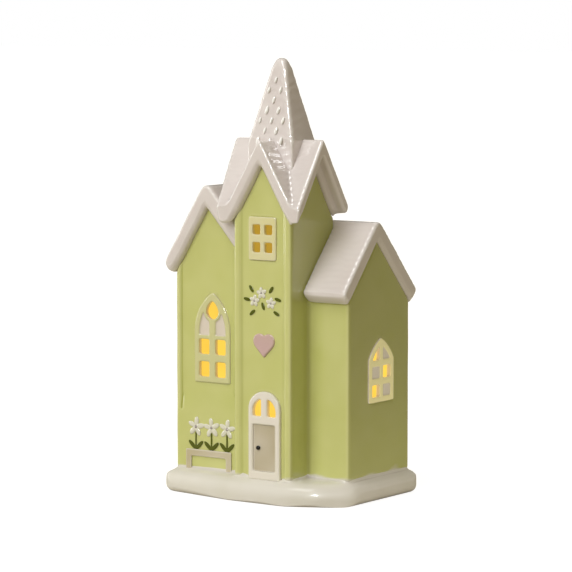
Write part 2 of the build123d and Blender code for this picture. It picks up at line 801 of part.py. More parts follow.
slider_half_y = slider_breadth / 2 + switch_clearance
lamp_housing -= lamp_block(slot_half, switch_y - slider_half_y, switch_y + slider_half_y, ground_gap,
                           flange_top)

# Battery door with two hooked tabs and a countersunk seat for its screw
battery_door = hatch_plan(0, ground_gap, flange_top)
for tab in tabs(0, flange_top + tab_thickness):
    battery_door += tab
battery_door -= disc(lamp_x, screw_y, screw_shank_radius + screw_clearance, ground_gap, flange_top)
head_top = ground_gap + screw_head_height
battery_door -= disc(lamp_x, screw_y, screw_head_radius + screw_clearance, ground_gap, head_top)
door_screw = disc(lamp_x, screw_y, screw_head_radius, ground_gap, head_top)
door_screw += disc(lamp_x, screw_y, screw_shank_radius, head_top, screw_top)
door_screw -= block(lamp_x - screw_head_radius, lamp_x + screw_head_radius, screw_y - screw_slot_width / 2,
                    screw_y + screw_slot_width / 2, ground_gap, ground_gap + screw_slot_depth)


# Cells: a can with a nub on its positive end, which points right (1) or left (-1)
def cell(y, way):
    body = Plane(origin=(lamp_x - way * cell_length / 2, y, cell_z), z_dir=(way, 0, 0))
    can = extrude(body * Circle(cell_diameter / 2), cell_length - cell_nub_length)
    return can + extrude(body * Circle(cell_nub_radius), cell_length)


cell_front = cell(lamp_y - cell_y, 1)
cell_rear = cell(lamp_y + cell_y, -1)


# Contacts: plates on the bay's end walls, with a sprung leaf for minus and a dimple for plus
def end_plate(way, y_from, y_to, z_to):
    outer = lamp_x + way * bay_half_x
    inner = outer - way * contact_plate
    return block(min(outer, inner), max(outer, inner), y_from, y_to, flange_top + bay_clearance, z_to)


def sprung_leaf(way, y):
    foot_x = lamp_x + way * (bay_half_x - contact_plate)
    crown_x = foot_x - way * contact_spring
    low, high = cell_z - spring_height / 2, cell_z + spring_height / 2
    thin = way * contact_leaf
    inner_low, inner_high = low + contact_leaf, high - contact_leaf
    outer = ThreePointArc((foot_x, low), (crown_x, cell_z), (foot_x, high))
    inner = ThreePointArc((foot_x, inner_high), (crown_x + thin, cell_z), (foot_x, inner_low))
    top = Line((foot_x, high), (foot_x, inner_high))
    bottom = Line((foot_x, inner_low), (foot_x, low))
    strip = make_face([outer, top, inner, bottom])
    return along_y(strip, y - spring_width / 2, y + spring_width / 2)


def dimple(way, y):
    plate = Plane(origin=(lamp_x + way * (bay_half_x - contact_plate), y, cell_z), z_dir=(-way, 0, 0))
    return extrude(plate * Circle(dimple_radius), contact_spring)


def tail(way, y, extra, z_from, z_to):
    outer = lamp_x + way * bay_half_x
    inner = outer - way * (contact_plate + extra)
    return block(min(outer, inner), max(outer, inner), y - tail_width / 2 - extra, y + tail_width / 2 + extra,
                 z_from, z_to)


front_y = lamp_y - cell_y
rear_y = lamp_y + cell_y
half_plate = contact_width / 2
contact_positive = end_plate(1, front_y - half_plate, front_y + half_plate, bay_top) + dimple(1, front_y)
contact_positive += tail(1, front_y, 0, bay_top, board_low)
contact_negative = end_plate(1, rear_y - half_plate, rear_y + half_plate, bay_top) + sprung_leaf(1, rear_y)
contact_negative += tail(1, rear_y, 0, bay_top, board_low)
contact_bridge = end_plate(-1, front_y - half_plate, rear_y + half_plate, bay_top)
contact_bridge += sprung_leaf(-1, front_y) + dimple(-1, rear_y)
for y in (front_y, rear_y):
    lamp_housing -= tail(1, y, tail_clearance, bay_top, bay_roof_top)

# Slide switch on the flange, its knob in the slot and its two leads up to the board
switch_top = flange_top + switch_height
switch_body = lamp_block(switch_length / 2, switch_y - switch_breadth / 2, switch_y + switch_breadth / 2,
                         flange_top, switch_top)
slider_top = flange_top + slider_depth_in_body
switch_body -= lamp_block(slot_half, switch_y - slider_half_y, switch_y + slider_half_y, flange_top,
                          slider_top + switch_clearance)
slider_left = lamp_x - (slider_length + switch_travel) / 2
switch_knob = block(slider_left, slider_left + slider_length, switch_y - slider_breadth / 2,
                    switch_y + slider_breadth / 2, ground_gap + slider_recess, slider_top)
switch_leads = [disc(lamp_x + side * lead_pitch / 2, switch_y, lead_radius, switch_top, board_low)
                for side in (-1, 1)]

# LED board with its screws, lamps and resistor
led_board = disc(lamp_x, lamp_y, board_radius, board_low, board_top)
board_screw_list = []
for side in (-1, 1):
    x = lamp_x + side * board_boss_pitch / 2
    shank = disc(x, lamp_y, board_screw_radius, board_top - board_screw_length, board_top)
    head = disc(x, lamp_y, board_screw_head_radius, board_top, board_top + board_screw_head)
    led_board -= shank
    lamp_housing -= shank
    board_screw_list.append(shank + head)
led_list = []
for number in range(led_count):
    angle = math.radians(90 + number * 360 / led_count)
    x = lamp_x + led_ring_radius * math.cos(angle)
    y = lamp_y + led_ring_radius * math.sin(angle)
    lens = disc(x, y, led_radius, board_top, board_top + led_height)
    lens = chamfer(lens.faces().sort_by(Axis.Z)[-1].edges(), led_bevel)
    led_list.append(lens + disc(x, y, led_collar_radius, board_top, board_top + led_collar))
resistor = lamp_block(chip_length / 2, lamp_y - chip_setback - chip_breadth / 2,
                      lamp_y - chip_setback + chip_breadth / 2, board_top, board_top + chip_height)


# Diffuser: a frosted cap on the rim, with a skirt that drops inside it
def cap(inset, height):
    middle = Pos(lamp_x, lamp_y, rim + height / 2)
    return middle * Cone(diffuser_radius - inset, diffuser_top_radius - inset, height)


skirt_radius = barrel_radius - barrel_wall - soft_clearance
diffuser = cap(0, diffuser_height)
diffuser = chamfer(diffuser.faces().sort_by(Axis.Z)[-1].edges(), diffuser_bevel)
diffuser += disc(lamp_x, lamp_y, skirt_radius, rim - diffuser_skirt, rim)
diffuser -= cap(diffuser_wall, diffuser_height - diffuser_wall)
diffuser -= disc(lamp_x, lamp_y, skirt_radius - diffuser_wall, rim - diffuser_skirt, rim)

nodes = {
    "wall_shell": wall_shell,
    "snow_base": snow_base,
    "wing_roof": wing_roof,
    "nave_roof": nave_roof,
    "tower_roof": tower_roof,
    "spire": spire,
    "wing_window": wing_window,
    "tower_window": tower_window,
    "nave_window": nave_window,
    "door_surround": door_surround,
    "door_leaf": door_leaf,
    "door_knob": door_knob,
    "heart": heart,
    "spray_flowers": group(spray_flower_list),
    "spray_centres": group(spray_centre_list),
    "spray_leaves": group(spray_leaf_list),
    "planter": planter,
    "daisy_heads": group(daisy_head_list),
    "daisy_centres": group(daisy_centre_list),
    "daisy_stems": group(daisy_stem_list),
    "mounting_sleeve": mounting_sleeve,
    "lamp_housing": lamp_housing,
    "battery_door": battery_door,
    "door_screw": door_screw,
    "cell_front": cell_front,
    "cell_rear": cell_rear,
    "contact_positive": contact_positive,
    "contact_negative": contact_negative,
    "contact_bridge": contact_bridge,
    "switch_body": switch_body,
    "switch_knob": switch_knob,
    "switch_leads": group(switch_leads),
    "led_board": led_board,
    "board_screws": group(board_screw_list),
    "leds": group(led_list),
    "resistor": resistor,
    "diffuser": diffuser,
}
os.makedirs("parts", exist_ok=True)
for name, piece in nodes.items():
    export_step(piece, f"parts/{name}.step")
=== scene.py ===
import math
from functools import partial

import bmesh
import bpy
import numpy as np
from bpy.props import FloatProperty, FloatVectorProperty, IntProperty, PointerProperty
from bpy_extras.mesh_utils import mesh_linked_triangles
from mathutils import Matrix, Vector


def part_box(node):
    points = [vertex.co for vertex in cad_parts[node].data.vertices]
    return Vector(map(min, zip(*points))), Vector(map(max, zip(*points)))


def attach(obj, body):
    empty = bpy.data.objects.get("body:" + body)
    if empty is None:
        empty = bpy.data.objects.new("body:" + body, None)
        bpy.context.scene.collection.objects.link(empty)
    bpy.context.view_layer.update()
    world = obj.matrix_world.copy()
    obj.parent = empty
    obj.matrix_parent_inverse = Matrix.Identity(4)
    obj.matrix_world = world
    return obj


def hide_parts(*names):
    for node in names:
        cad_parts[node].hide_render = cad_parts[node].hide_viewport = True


bl_info = {
    "name": "Ceramic village house",
    "version": (1, 0, 0),
    "blender": (4, 5, 0),
    "location": "View3D > Sidebar > Village",
    "description": "Dresses the packed village house in soft cast forms and glazes, and sets its stage",
    "category": "Object",
}

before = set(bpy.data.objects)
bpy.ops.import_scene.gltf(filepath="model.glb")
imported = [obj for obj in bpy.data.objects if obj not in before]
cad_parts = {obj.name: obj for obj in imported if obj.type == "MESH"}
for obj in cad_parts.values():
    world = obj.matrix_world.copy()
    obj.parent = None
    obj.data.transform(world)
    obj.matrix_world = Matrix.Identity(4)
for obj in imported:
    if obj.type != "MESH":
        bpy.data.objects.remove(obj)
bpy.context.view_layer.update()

MM = 0.001
MERGE = 0.002 * MM
MOST_TRIANGLES = 185_000
WHITE = (1.0, 1.0, 1.0, 1.0)

# Rounds of smoothing that soften each casting's edges, and those that melt an eave, a tip or the base's top
ROUNDS = {"wall_shell": 7, "snow_base": 6, "wing_roof": 30, "nave_roof": 30, "tower_roof": 30, "spire": 6,
          "tower_window": 16, "wing_window": 18, "nave_window": 18, "door_surround": 20, "door_leaf": 2,
          "door_knob": 3, "heart": 70, "spray_leaves": 3, "planter": 8, "daisy_stems": 2}
MELT_ROUNDS = 45

# Rounds of smoothing that show how sharply a face bends, and the shift that counts as sharp, in mesh spacings
BEND_ROUNDS, SHARP_BEND = 6, 0.25

# Mesh spacing of the knob and the leaves, as shares of that of the small ornaments
KNOB_GRAIN, LEAF_GRAIN = 0.6, 0.8

# Share of their height that the reliefs keep under thick glaze, and the height of each relief in millimetres
RELIEF_SHARE = 0.6
RELIEFS = {"wing_window": 1.5, "nave_window": 1.5, "tower_window": 1.5, "planter": 1.8,
           "spray_leaves": 0.8, "daisy_stems": 0.8}

# Distances over which walls, roofs, the base's edge and the snow line wander, in millimetres
WALL_WAVE, ROOF_WAVE, BASE_WAVE, SNOW_WAVE = 38.0, 24.0, 27.0, 19.0

# Snow line on the walls: how far it wanders, as a share of its height, and its soft edge in millimetres
SNOW_WANDER, SNOW_EDGE = 0.8, 1.4

# Plans of the rooms down the middle of their walls, in millimetres: left, right, front and back
WING_ROOM = (-57.2, -8.7, -30.3, 40.9)
TOWER_ROOM = (-8.7, 28.7, -38.3, 2.4)
NAVE_ROOM = (-34.0, 57.2, -20.9, 40.9)

# Undersides of two roofs: place and height of the crest in millimetres, then the slope each way
WING_CREST = (-34.75, 172.1, 1.632, 1.130)
NAVE_CREST = (7.2, 153.5, 1.150, 1.072)

# Sunk panel on the wing's front, in millimetres: left, right, wall's face, depth, foot and height of its fade
WING_PANEL = (-56.0, -13.5, -32.75, 1.2, 49.0, 15.0)

# Groove down the panel's left side, in millimetres
GROOVE_WIDTH, GROOVE_DEPTH = 1.0, 0.7

# Plan of the base's soft outline, how softly its corners turn and the room left for that, in millimetres
BASE_PLAN = ((-65.0, -40.75), (-24.0, -47.5), (2.0, -49.75), (18.0, -49.75), (36.0, -46.2), (48.0, -40.6),
             (65.0, -22.5), (65.0, 49.75), (-65.0, 49.75))
PLAN_SOFT, PLAN_ROOM = 2.0, 0.7

# Foot and depth of the base's full round upper edge, in millimetres
ROUND_FROM, ROUND_DEPTH = 4.0, 8.5

# Where the snow's collar and the melted top start, as shares of that depth
COLLAR_FROM, MELT_FROM = 0.6, 0.3

# Share of the base's height above which its top melts
MELT_ABOVE = 0.6

# Roof courses: how far their lines wander, in courses, and over which distances, in millimetres
COURSE_LINES = ((0.4, 21.0), (0.15, 8.0))

# Distance over which the courses' relief changes, in millimetres, and how softly they end with the slope
COURSE_WAVE, SLOPE_FADE = 33.0, 0.12

# How far up faces with courses point on the roofs and on the spire, from the least to the most
ROOF_SLOPES, SPIRE_SLOPES = (0.3, 0.9), (0.1, 0.5)

# Spire: height of its sloping part, in millimetres, and the share of its plan that is left at the cap
SPIRE_SLOPE, SPIRE_CAP_SHARE = 48.0, 0.24

# Heights over which the spire is drawn up and over which its melting sets in, as shares of its melted tip
TIP_DRAW, TIP_MELT = 4, 0.5

# Shingles: slant in radians, the most on each side of a row's middle, and how much smaller some are
SHINGLE_SLANT, SHINGLES_ASIDE, SHINGLE_UNEVENNESS = 0.2, 2, 0.35

# How far off the spire a shingle's middle lies, in its reliefs, and how far from the arris, in its widths
SHINGLE_SEAT, SHINGLE_MARGIN = 0.8, 1.2

# Petals of a flower, how far they turn in radians, and how much smaller some are
PETALS, PETAL_SWAY, PETAL_UNEVENNESS = 5, 0.16, 0.12

# Distance of a petal's middle from the eye's, in its lengths, and from the wall, in millimetres
PETAL_REACH, PETAL_LIFT = 0.52, 0.1

# Widths of the petals in their lengths, and thickness of an eye in petal reliefs
SPRAY_WIDTH, DAISY_WIDTH, EYE_THICKNESS = 0.7, 0.54, 2.8

# Sizes in the glaze, in millimetres: its specks, its ripples and how deep they are
SPECK, RIPPLE, RIPPLE_DEPTH = 1.1, 5.0, 0.12

# Lamplight on the lining, in millimetres: heights between which it fades, and the size of its clouds
FADE_FROM, FADE_TO, CLOUD = 112.0, 148.0, 30.0

# Sizes in moulded plastic, in millimetres: marks of its flow, and how deep its grain is
FLOW, GRAIN_DEPTH = 14.0, 0.03

# Where the lamps point, and how far off they stand, in metres
AIM = Vector((0, 0, 0.12))
LAMP_DISTANCE, SUN_DISTANCE = 1.6, 2.0

# Soft lamps: turn from the front and height angle in degrees, width and height in metres, and brightness
LAMPS = {"top_box": (0, 60, 0.7, 0.55, 5.6), "side_box": (-74, 12, 0.3, 0.9, 5.0)}

# Far lamps: turn from the front, height angle and width as seen from the house, in degrees, and strength
SUNS = {"key": (-10, 28, 40, 1.42), "back_fill": (222, 35, 60, 0.9), "glint": (31, 27, 13, 2.0)}
SUN_TINT = (0.95, 0.975, 1.0)

# Width and height of the low white card, in metres
CARD_SIZE = (0.16, 0.02)

# Outer edge of the floor, and the opening in it under the base, as shares of the base's plan
FLOOR_SHARES = (250.0, 0.95)

# White that the floor gives off, and the share of it that the camera sees
FLOOR_WHITE, FLOOR_LIFT = 1.45, 0.62

# Width of the camera's sensor, in millimetres, and how far it sees, in metres
SENSOR, FAR = 36.0, 50.0


def linear(code):
    """Linear colour of an sRGB hex code."""
    shares = [int(code[place:place + 2], 16) / 255 for place in (1, 3, 5)]
    return tuple(s / 12.92 if s <= 0.04045 else ((s + 0.055) / 1.055) ** 2.4 for s in shares)


def colour(name, description, code):
    """A colour setting with its default given as an sRGB hex code."""
    return FloatVectorProperty(name=name, description=description, default=linear(code), size=3,
                               min=0.0, max=1.0, subtype="COLOR")


def length(name, description, millimetres):
    """A length setting with its default given in millimetres."""
    return FloatProperty(name=name, description=description, default=millimetres * MM, min=0.0, unit="LENGTH",
                         precision=5)


class HouseGlazes(bpy.types.PropertyGroup):
    """Glaze colours, and the lamplight on the lining."""

    wall: colour("Wall green", "Pastel green of the walls", "#C9CC7C")
    wall_thin: colour("Wall green, thin", "Green where the glaze thins over an edge", "#DDDD9E")
    # Also painted shade: laid near other surfaces and on the side walls.
    wall_pooled: colour("Wall green, pooled", "Green where the glaze pools in a corner", "#969A22")
    snow: colour("Snow white", "White of the roofs", "#DFD6D4")
    snow_thin: colour("Snow white, thin", "White where the glaze thins over an edge", "#F4EFED")
    # Also painted shade where other surfaces stand close.
    snow_pooled: colour("Snow white, pooled", "White where the glaze pools in a groove", "#AFA29D")
    # Painted highlight: the shingles are whiter than the roofs so that they read as catching the light.
    shingle: colour("Shingle white", "Brighter white of the raised shingles", "#FFFEFC")
    ground: colour("Ground snow", "White of the base", "#DCD8CC")
    cream: colour("Cream", "Tower window's frame", "#E1D99A")
    # Also painted shade where the frame meets the wall.
    cream_pooled: colour("Cream, pooled", "Cream where it meets the green", "#BDB37C")
    tracery: colour("Tracery", "Pinkish white of the wing window's blind lights", "#E2D6C9")
    wing_rim: colour("Wing window's frame", "Rim and bars in a paler wall green", "#D3D19A")
    nave_rim: colour("Nave window's frame", "Cream rim and bars", "#EBE2A6")
    nave_blind: colour("Nave window's blind lights", "Pale taupe between its bars", "#CDC3B0")
    surround: colour("Door surround", "Pale frame of the door", "#EDE6DC")
    leaf: colour("Door leaf", "Grey-beige door", "#BBAF93")
    # Also painted shade where other surfaces stand close.
    leaf_pooled: colour("Door leaf, pooled", "Door's grooves", "#7E7254")
    knob: colour("Door knob", "Black dot of glaze", "#0B0906")
    heart: colour("Heart", "Pale pink", "#CFADB0")
    heart_edge: colour("Heart's edge", "Pink that runs thin over the green", "#C6B48F")
    petal: colour("Petals", "Off-white of the flowers", "#E3E0CF")
    eye: colour("Flower eyes", "Warm grey", "#A59C98")
    stem: colour("Leaves and stems", "Olive green", "#525A06")
    planter: colour("Planter", "Taupe", "#BDB08C")
    lamplight: colour("Lamplight", "Glow on the inner walls", "#FFD252")
    lamplight_far: colour("Lamplight, far", "Glow high up in the tower", "#A8882E")


class HouseForms(bpy.types.PropertyGroup):
    """Sizes of the cast forms."""

    wall_grain: length("Wall grain", "Mesh spacing of the walls", 0.75)
    roof_grain: length("Roof grain", "Mesh spacing of the roofs and the base", 0.62)
    relief_grain: length("Relief grain", "Mesh spacing of the windows and the door", 0.32)
    trim_grain: length("Trim grain", "Mesh spacing of the small ornaments", 0.2)
    unevenness: length("Unevenness", "How far cast faces wander from flat", 0.1)
    snow_lump: length("Snow lumps", "How far the base's edge wanders", 0.5)
    snow_lap: length("Snow lap", "How high the wall's foot stands in the base's snow", 6.0)
    lap_inset: length("Lap inset", "How far the snow's collar lies inside the wall's face", 0.5)
    course_height: length("Course height", "Upright spacing of the roof courses", 3.1)
    course_depth: length("Course depth", "Relief of the roof courses", 0.2)
    fullness: length("Fullness", "How far the thick white glaze fills out the roofs", 0.55)
    eave_drop: length("Eave drop", "Height over which the eaves are melted round", 9.0)
    overlap: length("Overlap", "How far a frame laps over the edge of its opening", 0.55)
    foot_snow: length("Foot snow", "How high the white glaze runs up the foot of the walls", 1.6)
    spire_course: length("Spire course", "Upright spacing of the shingle rows on the spire", 5.9)
    spire_tip: length("Spire tip", "Height of the spire's melted tip", 6.0)
    shingle_pitch: length("Shingle pitch", "Spacing of the shingles along a row", 8.2)
    shingle_width: length("Shingle width", "Width of a raised shingle", 2.3)
    shingle_height: length("Shingle height", "Height of a raised shingle", 5.4)
    shingle_relief: length("Shingle relief", "How far a shingle stands out", 0.95)
    heart_spread: length("Heart spread", "How far the heart's thick glaze spreads", 0.8)
    spray_petal: length("Spray petal", "Length of a petal in the spray", 3.7)
    daisy_petal: length("Daisy petal", "Length of a daisy's petal", 6.2)
    petal_relief: length("Petal relief", "How far a petal stands out", 0.55)
    seed: IntProperty(name="Seed", description="Seed of the hand-made differences", default=4, min=0)


class HouseStage(bpy.types.PropertyGroup):
    """Camera, lamps and floor."""

    camera_place: FloatVectorProperty(name="Camera place", description="Where the camera stands", size=3,
                                      default=(1.02077, -1.45958, 0.29541), subtype="XYZ", unit="LENGTH")
    camera_turn: FloatProperty(name="Camera turn", description="Angle from the front towards the right",
                               default=math.radians(35.0), subtype="ANGLE")
    camera_tilt: FloatProperty(name="Camera tilt", description="Angle that the camera looks down",
                               default=math.radians(5.5), subtype="ANGLE")
    lens: FloatProperty(name="Lens", description="Focal length on a 36 mm sensor, in millimetres",
                        default=188.8, min=1.0)
    ambient: FloatProperty(name="Ambient", description="Strength of the soft light from all round",
                           default=0.31, min=0.0)
    card_place: FloatVectorProperty(name="Card place", description="Where the low white card stands", size=3,
                                    default=(0.12, 0.0, 0.012), subtype="XYZ", unit="LENGTH")
    card: FloatProperty(name="Card", description="Power of the light off the low white card",
                        default=0.012, min=0.0)
    floor: colour("Floor", "Plain pale floor", "#EBE4D2")
    reflected: colour("Reflected floor", "Tone of the floor and room as the glazes see it", "#BCB5A2")
    fill: colour("Fill light", "Tint of the soft light from all round", "#FFF0CC")


def add_node(tree, kind, inputs=(), **settings):
    """Adds one node with its settings, and sets or links its inputs. A node that is given for an input stands
    for the first of its outputs that is in use."""
    made = tree.nodes.new(kind)
    for name, value in settings.items():
        setattr(made, name, value)
    for socket, value in dict(inputs).items():
        if isinstance(value, bpy.types.Node):
            value = next(output for output in value.outputs if output.enabled)
        if isinstance(value, bpy.types.NodeSocket):
            tree.links.new(value, made.inputs[socket])
        else:
            made.inputs[socket].default_value = value
    return made


def opaque(rgb):
    return (*rgb, 1.0)


def new_material(name):
    """An empty node material, and what adds a node to it."""
    material = bpy.data.materials.new(name)
    material.use_nodes = True
    material.node_tree.nodes.clear()
    return material, partial(add_node, material.node_tree)


def glaze(name, base, thin, pooled, second=None, shade_mm=2.2, patch_mm=22.0, gloss=0.2, wet=1.0,
          sides=0.0, glow=0.0):
    """Coloured glaze under a clear one on fired earthenware: wet gloss, paler where it thins over edges,
    darker where it pools in hollows, with the same darker colour laid as painted shade in corners and near
    other surfaces, a slow drift in tone, and a rippled skin so that glints wander. A second colour can be
    brushed on where the mesh says so, the side walls can take painted shade, and a painted lamplight glow can
    be added."""
    material, add = new_material(name)
    given = add("ShaderNodeTexCoord")
    place = given.outputs["Object"]
    patches = add("ShaderNodeTexNoise", {"Vector": place, "Scale": 1 / (patch_mm * MM), "Detail": 1.5})
    drift = add("ShaderNodeMapRange", {"Value": patches, "From Min": 0.3, "From Max": 0.75, "To Max": 0.35})
    bend = add("ShaderNodeAttribute", attribute_name="glaze_break").outputs["Fac"]
    edge = add("ShaderNodeMapRange", {"Value": bend, "From Min": 0.15, "To Max": 0.8})
    hollow = add("ShaderNodeMapRange", {"Value": bend, "From Min": -0.15, "From Max": -1.0, "To Max": 0.85})
    # Painted shade: ambient occlusion lays the pooled colour where other surfaces stand close, in corners and
    # round reliefs; the bend term above is the glaze's own pooling in hollows.
    corner = add("ShaderNodeAmbientOcclusion", {"Distance": shade_mm * MM}, samples=6).outputs["AO"]
    near = add("ShaderNodeMapRange", {"Value": corner, "From Min": 0.65, "From Max": 0.2, "To Max": 0.4})
    pooling_and_painted_shade = add("ShaderNodeMath", {0: hollow, 1: near}, operation="MAXIMUM")
    # Painted shade: walls that face left or right take more of the pooled colour, so they read darker as if
    # turned from the light.
    if sides:
        facing = add("ShaderNodeSeparateXYZ", {"Vector": given.outputs["Normal"]}).outputs["X"]
        aside = add("ShaderNodeMath", {0: facing}, operation="ABSOLUTE")
        thick = add("ShaderNodeMapRange", {
            "Value": aside, "From Min": 0.6, "From Max": 0.95, "To Max": sides})
        pooling_and_painted_shade = add("ShaderNodeMath", {0: pooling_and_painted_shade, 1: thick}, operation="MAXIMUM")
    coats = [(drift, thin), (edge, thin), (pooling_and_painted_shade, pooled)]
    if second:
        coats.append((add("ShaderNodeAttribute", attribute_name="second_glaze").outputs["Fac"], second))
    tone = opaque(base)
    for share, coat in coats:
        tone = add("ShaderNodeMix", {"Factor": share, "A": tone, "B": opaque(coat)}, data_type="RGBA")
    specks = add("ShaderNodeTexNoise", {"Vector": place, "Scale": 1 / (SPECK * MM), "Detail": 1.0})
    shine = add("ShaderNodeMapRange", {"Value": specks, "To Min": gloss * 0.9, "To Max": gloss * 1.1})
    ripple = add("ShaderNodeTexNoise", {"Vector": place, "Scale": 1 / (RIPPLE * MM), "Detail": 0.5})
    skin = add("ShaderNodeBump", {"Height": ripple, "Strength": 0.3, "Distance": RIPPLE_DEPTH * MM})
    sockets = {"Base Color": tone, "Roughness": shine, "IOR": 1.52, "Normal": skin, "Coat Weight": wet,
               "Coat IOR": 1.6, "Coat Roughness": 0.05, "Coat Normal": skin}
    # Painted light: an emission in the glaze's own colour brightens the piece as if lamplight showed through
    # it.
    if glow:
        sockets |= {"Emission Color": tone, "Emission Strength": glow}
    add("ShaderNodeOutputMaterial", {"Surface": add("ShaderNodeBsdfPrincipled", sockets)})
    return material


def lamplit_lining(name, near, far):
    """Bare fired earthenware lit by the lamp unit: a matt, even glow that fades towards the tower's top."""
    material, add = new_material(name)
    place = add("ShaderNodeTexCoord").outputs["Object"]
    height = add("ShaderNodeSeparateXYZ", {"Vector": place}).outputs["Z"]
    fade = add("ShaderNodeMapRange", {"Value": height, "From Min": FADE_FROM * MM, "From Max": FADE_TO * MM})
    cloud = add("ShaderNodeTexNoise", {"Vector": place, "Scale": 1 / (CLOUD * MM), "Detail": 2.0})
    dim = add("ShaderNodeMapRange", {"Value": cloud, "From Min": 0.35, "From Max": 0.7, "To Max": 0.3})
    share = add("ShaderNodeMath", {0: fade, 1: dim}, operation="ADD", use_clamp=True)
    glow = add("ShaderNodeMix", {"Factor": share, "A": opaque(near), "B": opaque(far)}, data_type="RGBA")
    shader = add("ShaderNodeBsdfPrincipled", {"Base Color": opaque(linear("#6E6250")), "Roughness": 0.85,
                                              "Emission Color": glow, "Emission Strength": 1.0})
    add("ShaderNodeOutputMaterial", {"Surface": shader})
    return material


def toned(add, code, pattern, least, most):
    """A colour that a pattern makes darker and lighter."""
    shade = add("ShaderNodeMapRange", {"Value": pattern, "To Min": least, "To Max": most})
    return add("ShaderNodeMix", {"Factor": 1.0, "A": opaque(linear(code)), "B": shade}, data_type="RGBA",
               blend_type="MULTIPLY")


def moulded(name, code, roughness, grain_mm, ior=1.49, glow=None, strength=0.0):
    """Injection-moulded plastic: a fine spark-eroded grain, drawn coarser than life so that it shows, with a
    faint drift in tone from the mould's flow."""
    material, add = new_material(name)
    place = add("ShaderNodeTexCoord").outputs["Object"]
    flow = add("ShaderNodeTexNoise", {"Vector": place, "Scale": 1 / (FLOW * MM), "Detail": 2.0})
    grain = add("ShaderNodeTexNoise", {"Vector": place, "Scale": 1 / (grain_mm * MM), "Detail": 2.0})
    matt = add("ShaderNodeMapRange", {"Value": grain, "To Min": roughness * 0.85, "To Max": roughness * 1.15})
    pits = add("ShaderNodeBump", {"Height": grain, "Strength": 0.25, "Distance": GRAIN_DEPTH * MM})
    tone = toned(add, code, flow, 0.93, 1.04)
    sockets = {"Base Color": tone, "Roughness": matt, "IOR": ior, "Normal": pits}
    if glow:
        sockets |= {"Emission Color": opaque(linear(glow)), "Emission Strength": strength}
    add("ShaderNodeOutputMaterial", {"Surface": add("ShaderNodeBsdfPrincipled", sockets)})
    return material


def plated(name, code, roughness, brush_mm):
    """Plated sheet steel: fine rolling lines in one direction, drawn coarser than life so that they show,
    break up its reflections."""
    material, add = new_material(name)
    place = add("ShaderNodeTexCoord").outputs["Object"]
    drawn = add("ShaderNodeMapping", {"Vector": place, "Scale": (1.0, 0.08, 1.0)})
    lines = add("ShaderNodeTexNoise", {"Vector": drawn, "Scale": 1 / (brush_mm * MM), "Detail": 3.0})
    matt = add("ShaderNodeMapRange", {"Value": lines, "To Min": roughness * 0.7, "To Max": roughness * 1.4})
    tone = toned(add, code, lines, 0.85, 1.1)
    shader = add("ShaderNodeBsdfPrincipled", {"Base Color": tone, "Metallic": 1.0, "Roughness": matt})
    add("ShaderNodeOutputMaterial", {"Surface": shader})
    return material


def shared(name, make, *arguments, **settings):
    """The material of that name, made the first time that a piece asks for it."""
    return bpy.data.materials.get(name) or make(name, *arguments, **settings)


def snow_glaze(glazes):
    return shared("white_gloss_glaze", glaze, glazes.snow, glazes.snow_thin, glazes.snow_pooled)


def olive_glaze(glazes):
    return shared("olive_gloss_glaze", glaze, glazes.stem, glazes.stem, glazes.stem, wet=0.2)


def new_object(name, data):
    """An object in the scene, at the origin."""
    made = bpy.data.objects.new(name, data)
    bpy.context.scene.collection.objects.link(made)
    return made


def cast_shape(node):
    """A bmesh of a CAD node, with its loose triangles joined up."""
    shape = bmesh.new()
    shape.from_mesh(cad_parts[node].data)
    bmesh.ops.remove_doubles(shape, verts=shape.verts, dist=MERGE)
    return shape


def as_mesh(shape):
    mesh = bpy.data.meshes.new("work")
    shape.to_mesh(mesh)
    shape.free()
    return mesh


def evaluated(worker):
    """The plain mesh that an object's modifiers leave."""
    return bpy.data.meshes.new_from_object(worker.evaluated_get(bpy.context.evaluated_depsgraph_get()))


def modified(mesh, kind, **settings):
    """The mesh as one modifier leaves it."""
    worker = new_object("work", mesh)
    modifier = worker.modifiers.new(kind, kind)
    for name, value in settings.items():
        setattr(modifier, name, value)
    done = evaluated(worker)
    bpy.data.objects.remove(worker)
    bpy.data.meshes.remove(mesh)
    return done


def rows_of(items, key, width, kind=np.float32):
    """What every item of a mesh says under a key, in a row for each."""
    values = np.empty(len(items) * width, kind)
    items.foreach_get(key, values)
    return values.reshape(-1, width)


def corners_of(mesh):
    return rows_of(mesh.vertices, "co", 3).astype(float)


def normals_of(mesh):
    return rows_of(mesh.vertex_normals, "vector", 3).astype(float)


def move_corners(mesh, points):
    mesh.vertices.foreach_set("co", points.astype(np.float32).ravel())
    mesh.update()


def mark(mesh, name, values):
    """Keeps a number for each corner of a mesh, under a name that its glaze asks for."""
    mesh.attributes.new(name, "FLOAT", "POINT").data.foreach_set("value", values.astype(np.float32))


def relaxed(points, edges, rounds, pull=0.5):
    """Points drawn towards the mean of their neighbours, which rounds edges and leaves flats alone."""
    first, second = edges.T
    size = len(points)
    count = np.maximum(np.bincount(edges.ravel(), minlength=size), 1)
    for _ in range(rounds):
        sums = [np.bincount(first, line[second], size) + np.bincount(second, line[first], size)
                for line in points.T]
        mean = np.stack(sums, axis=1) / count[:, None]
        points = points + (mean - points) * pull
    return points


def swell(points, wave_mm):
    """A smooth field between -1 and 1 that wanders over about the given wavelength."""
    turns = points * (2 * math.pi / (wave_mm * MM))
    x, y, z = turns.T
    field = np.sin(x + 0.7 * y + 1.3) + np.sin(0.8 * y - 1.1 * z + 0.4) + np.sin(0.9 * z + 0.6 * x + 2.1)
    return field / 3


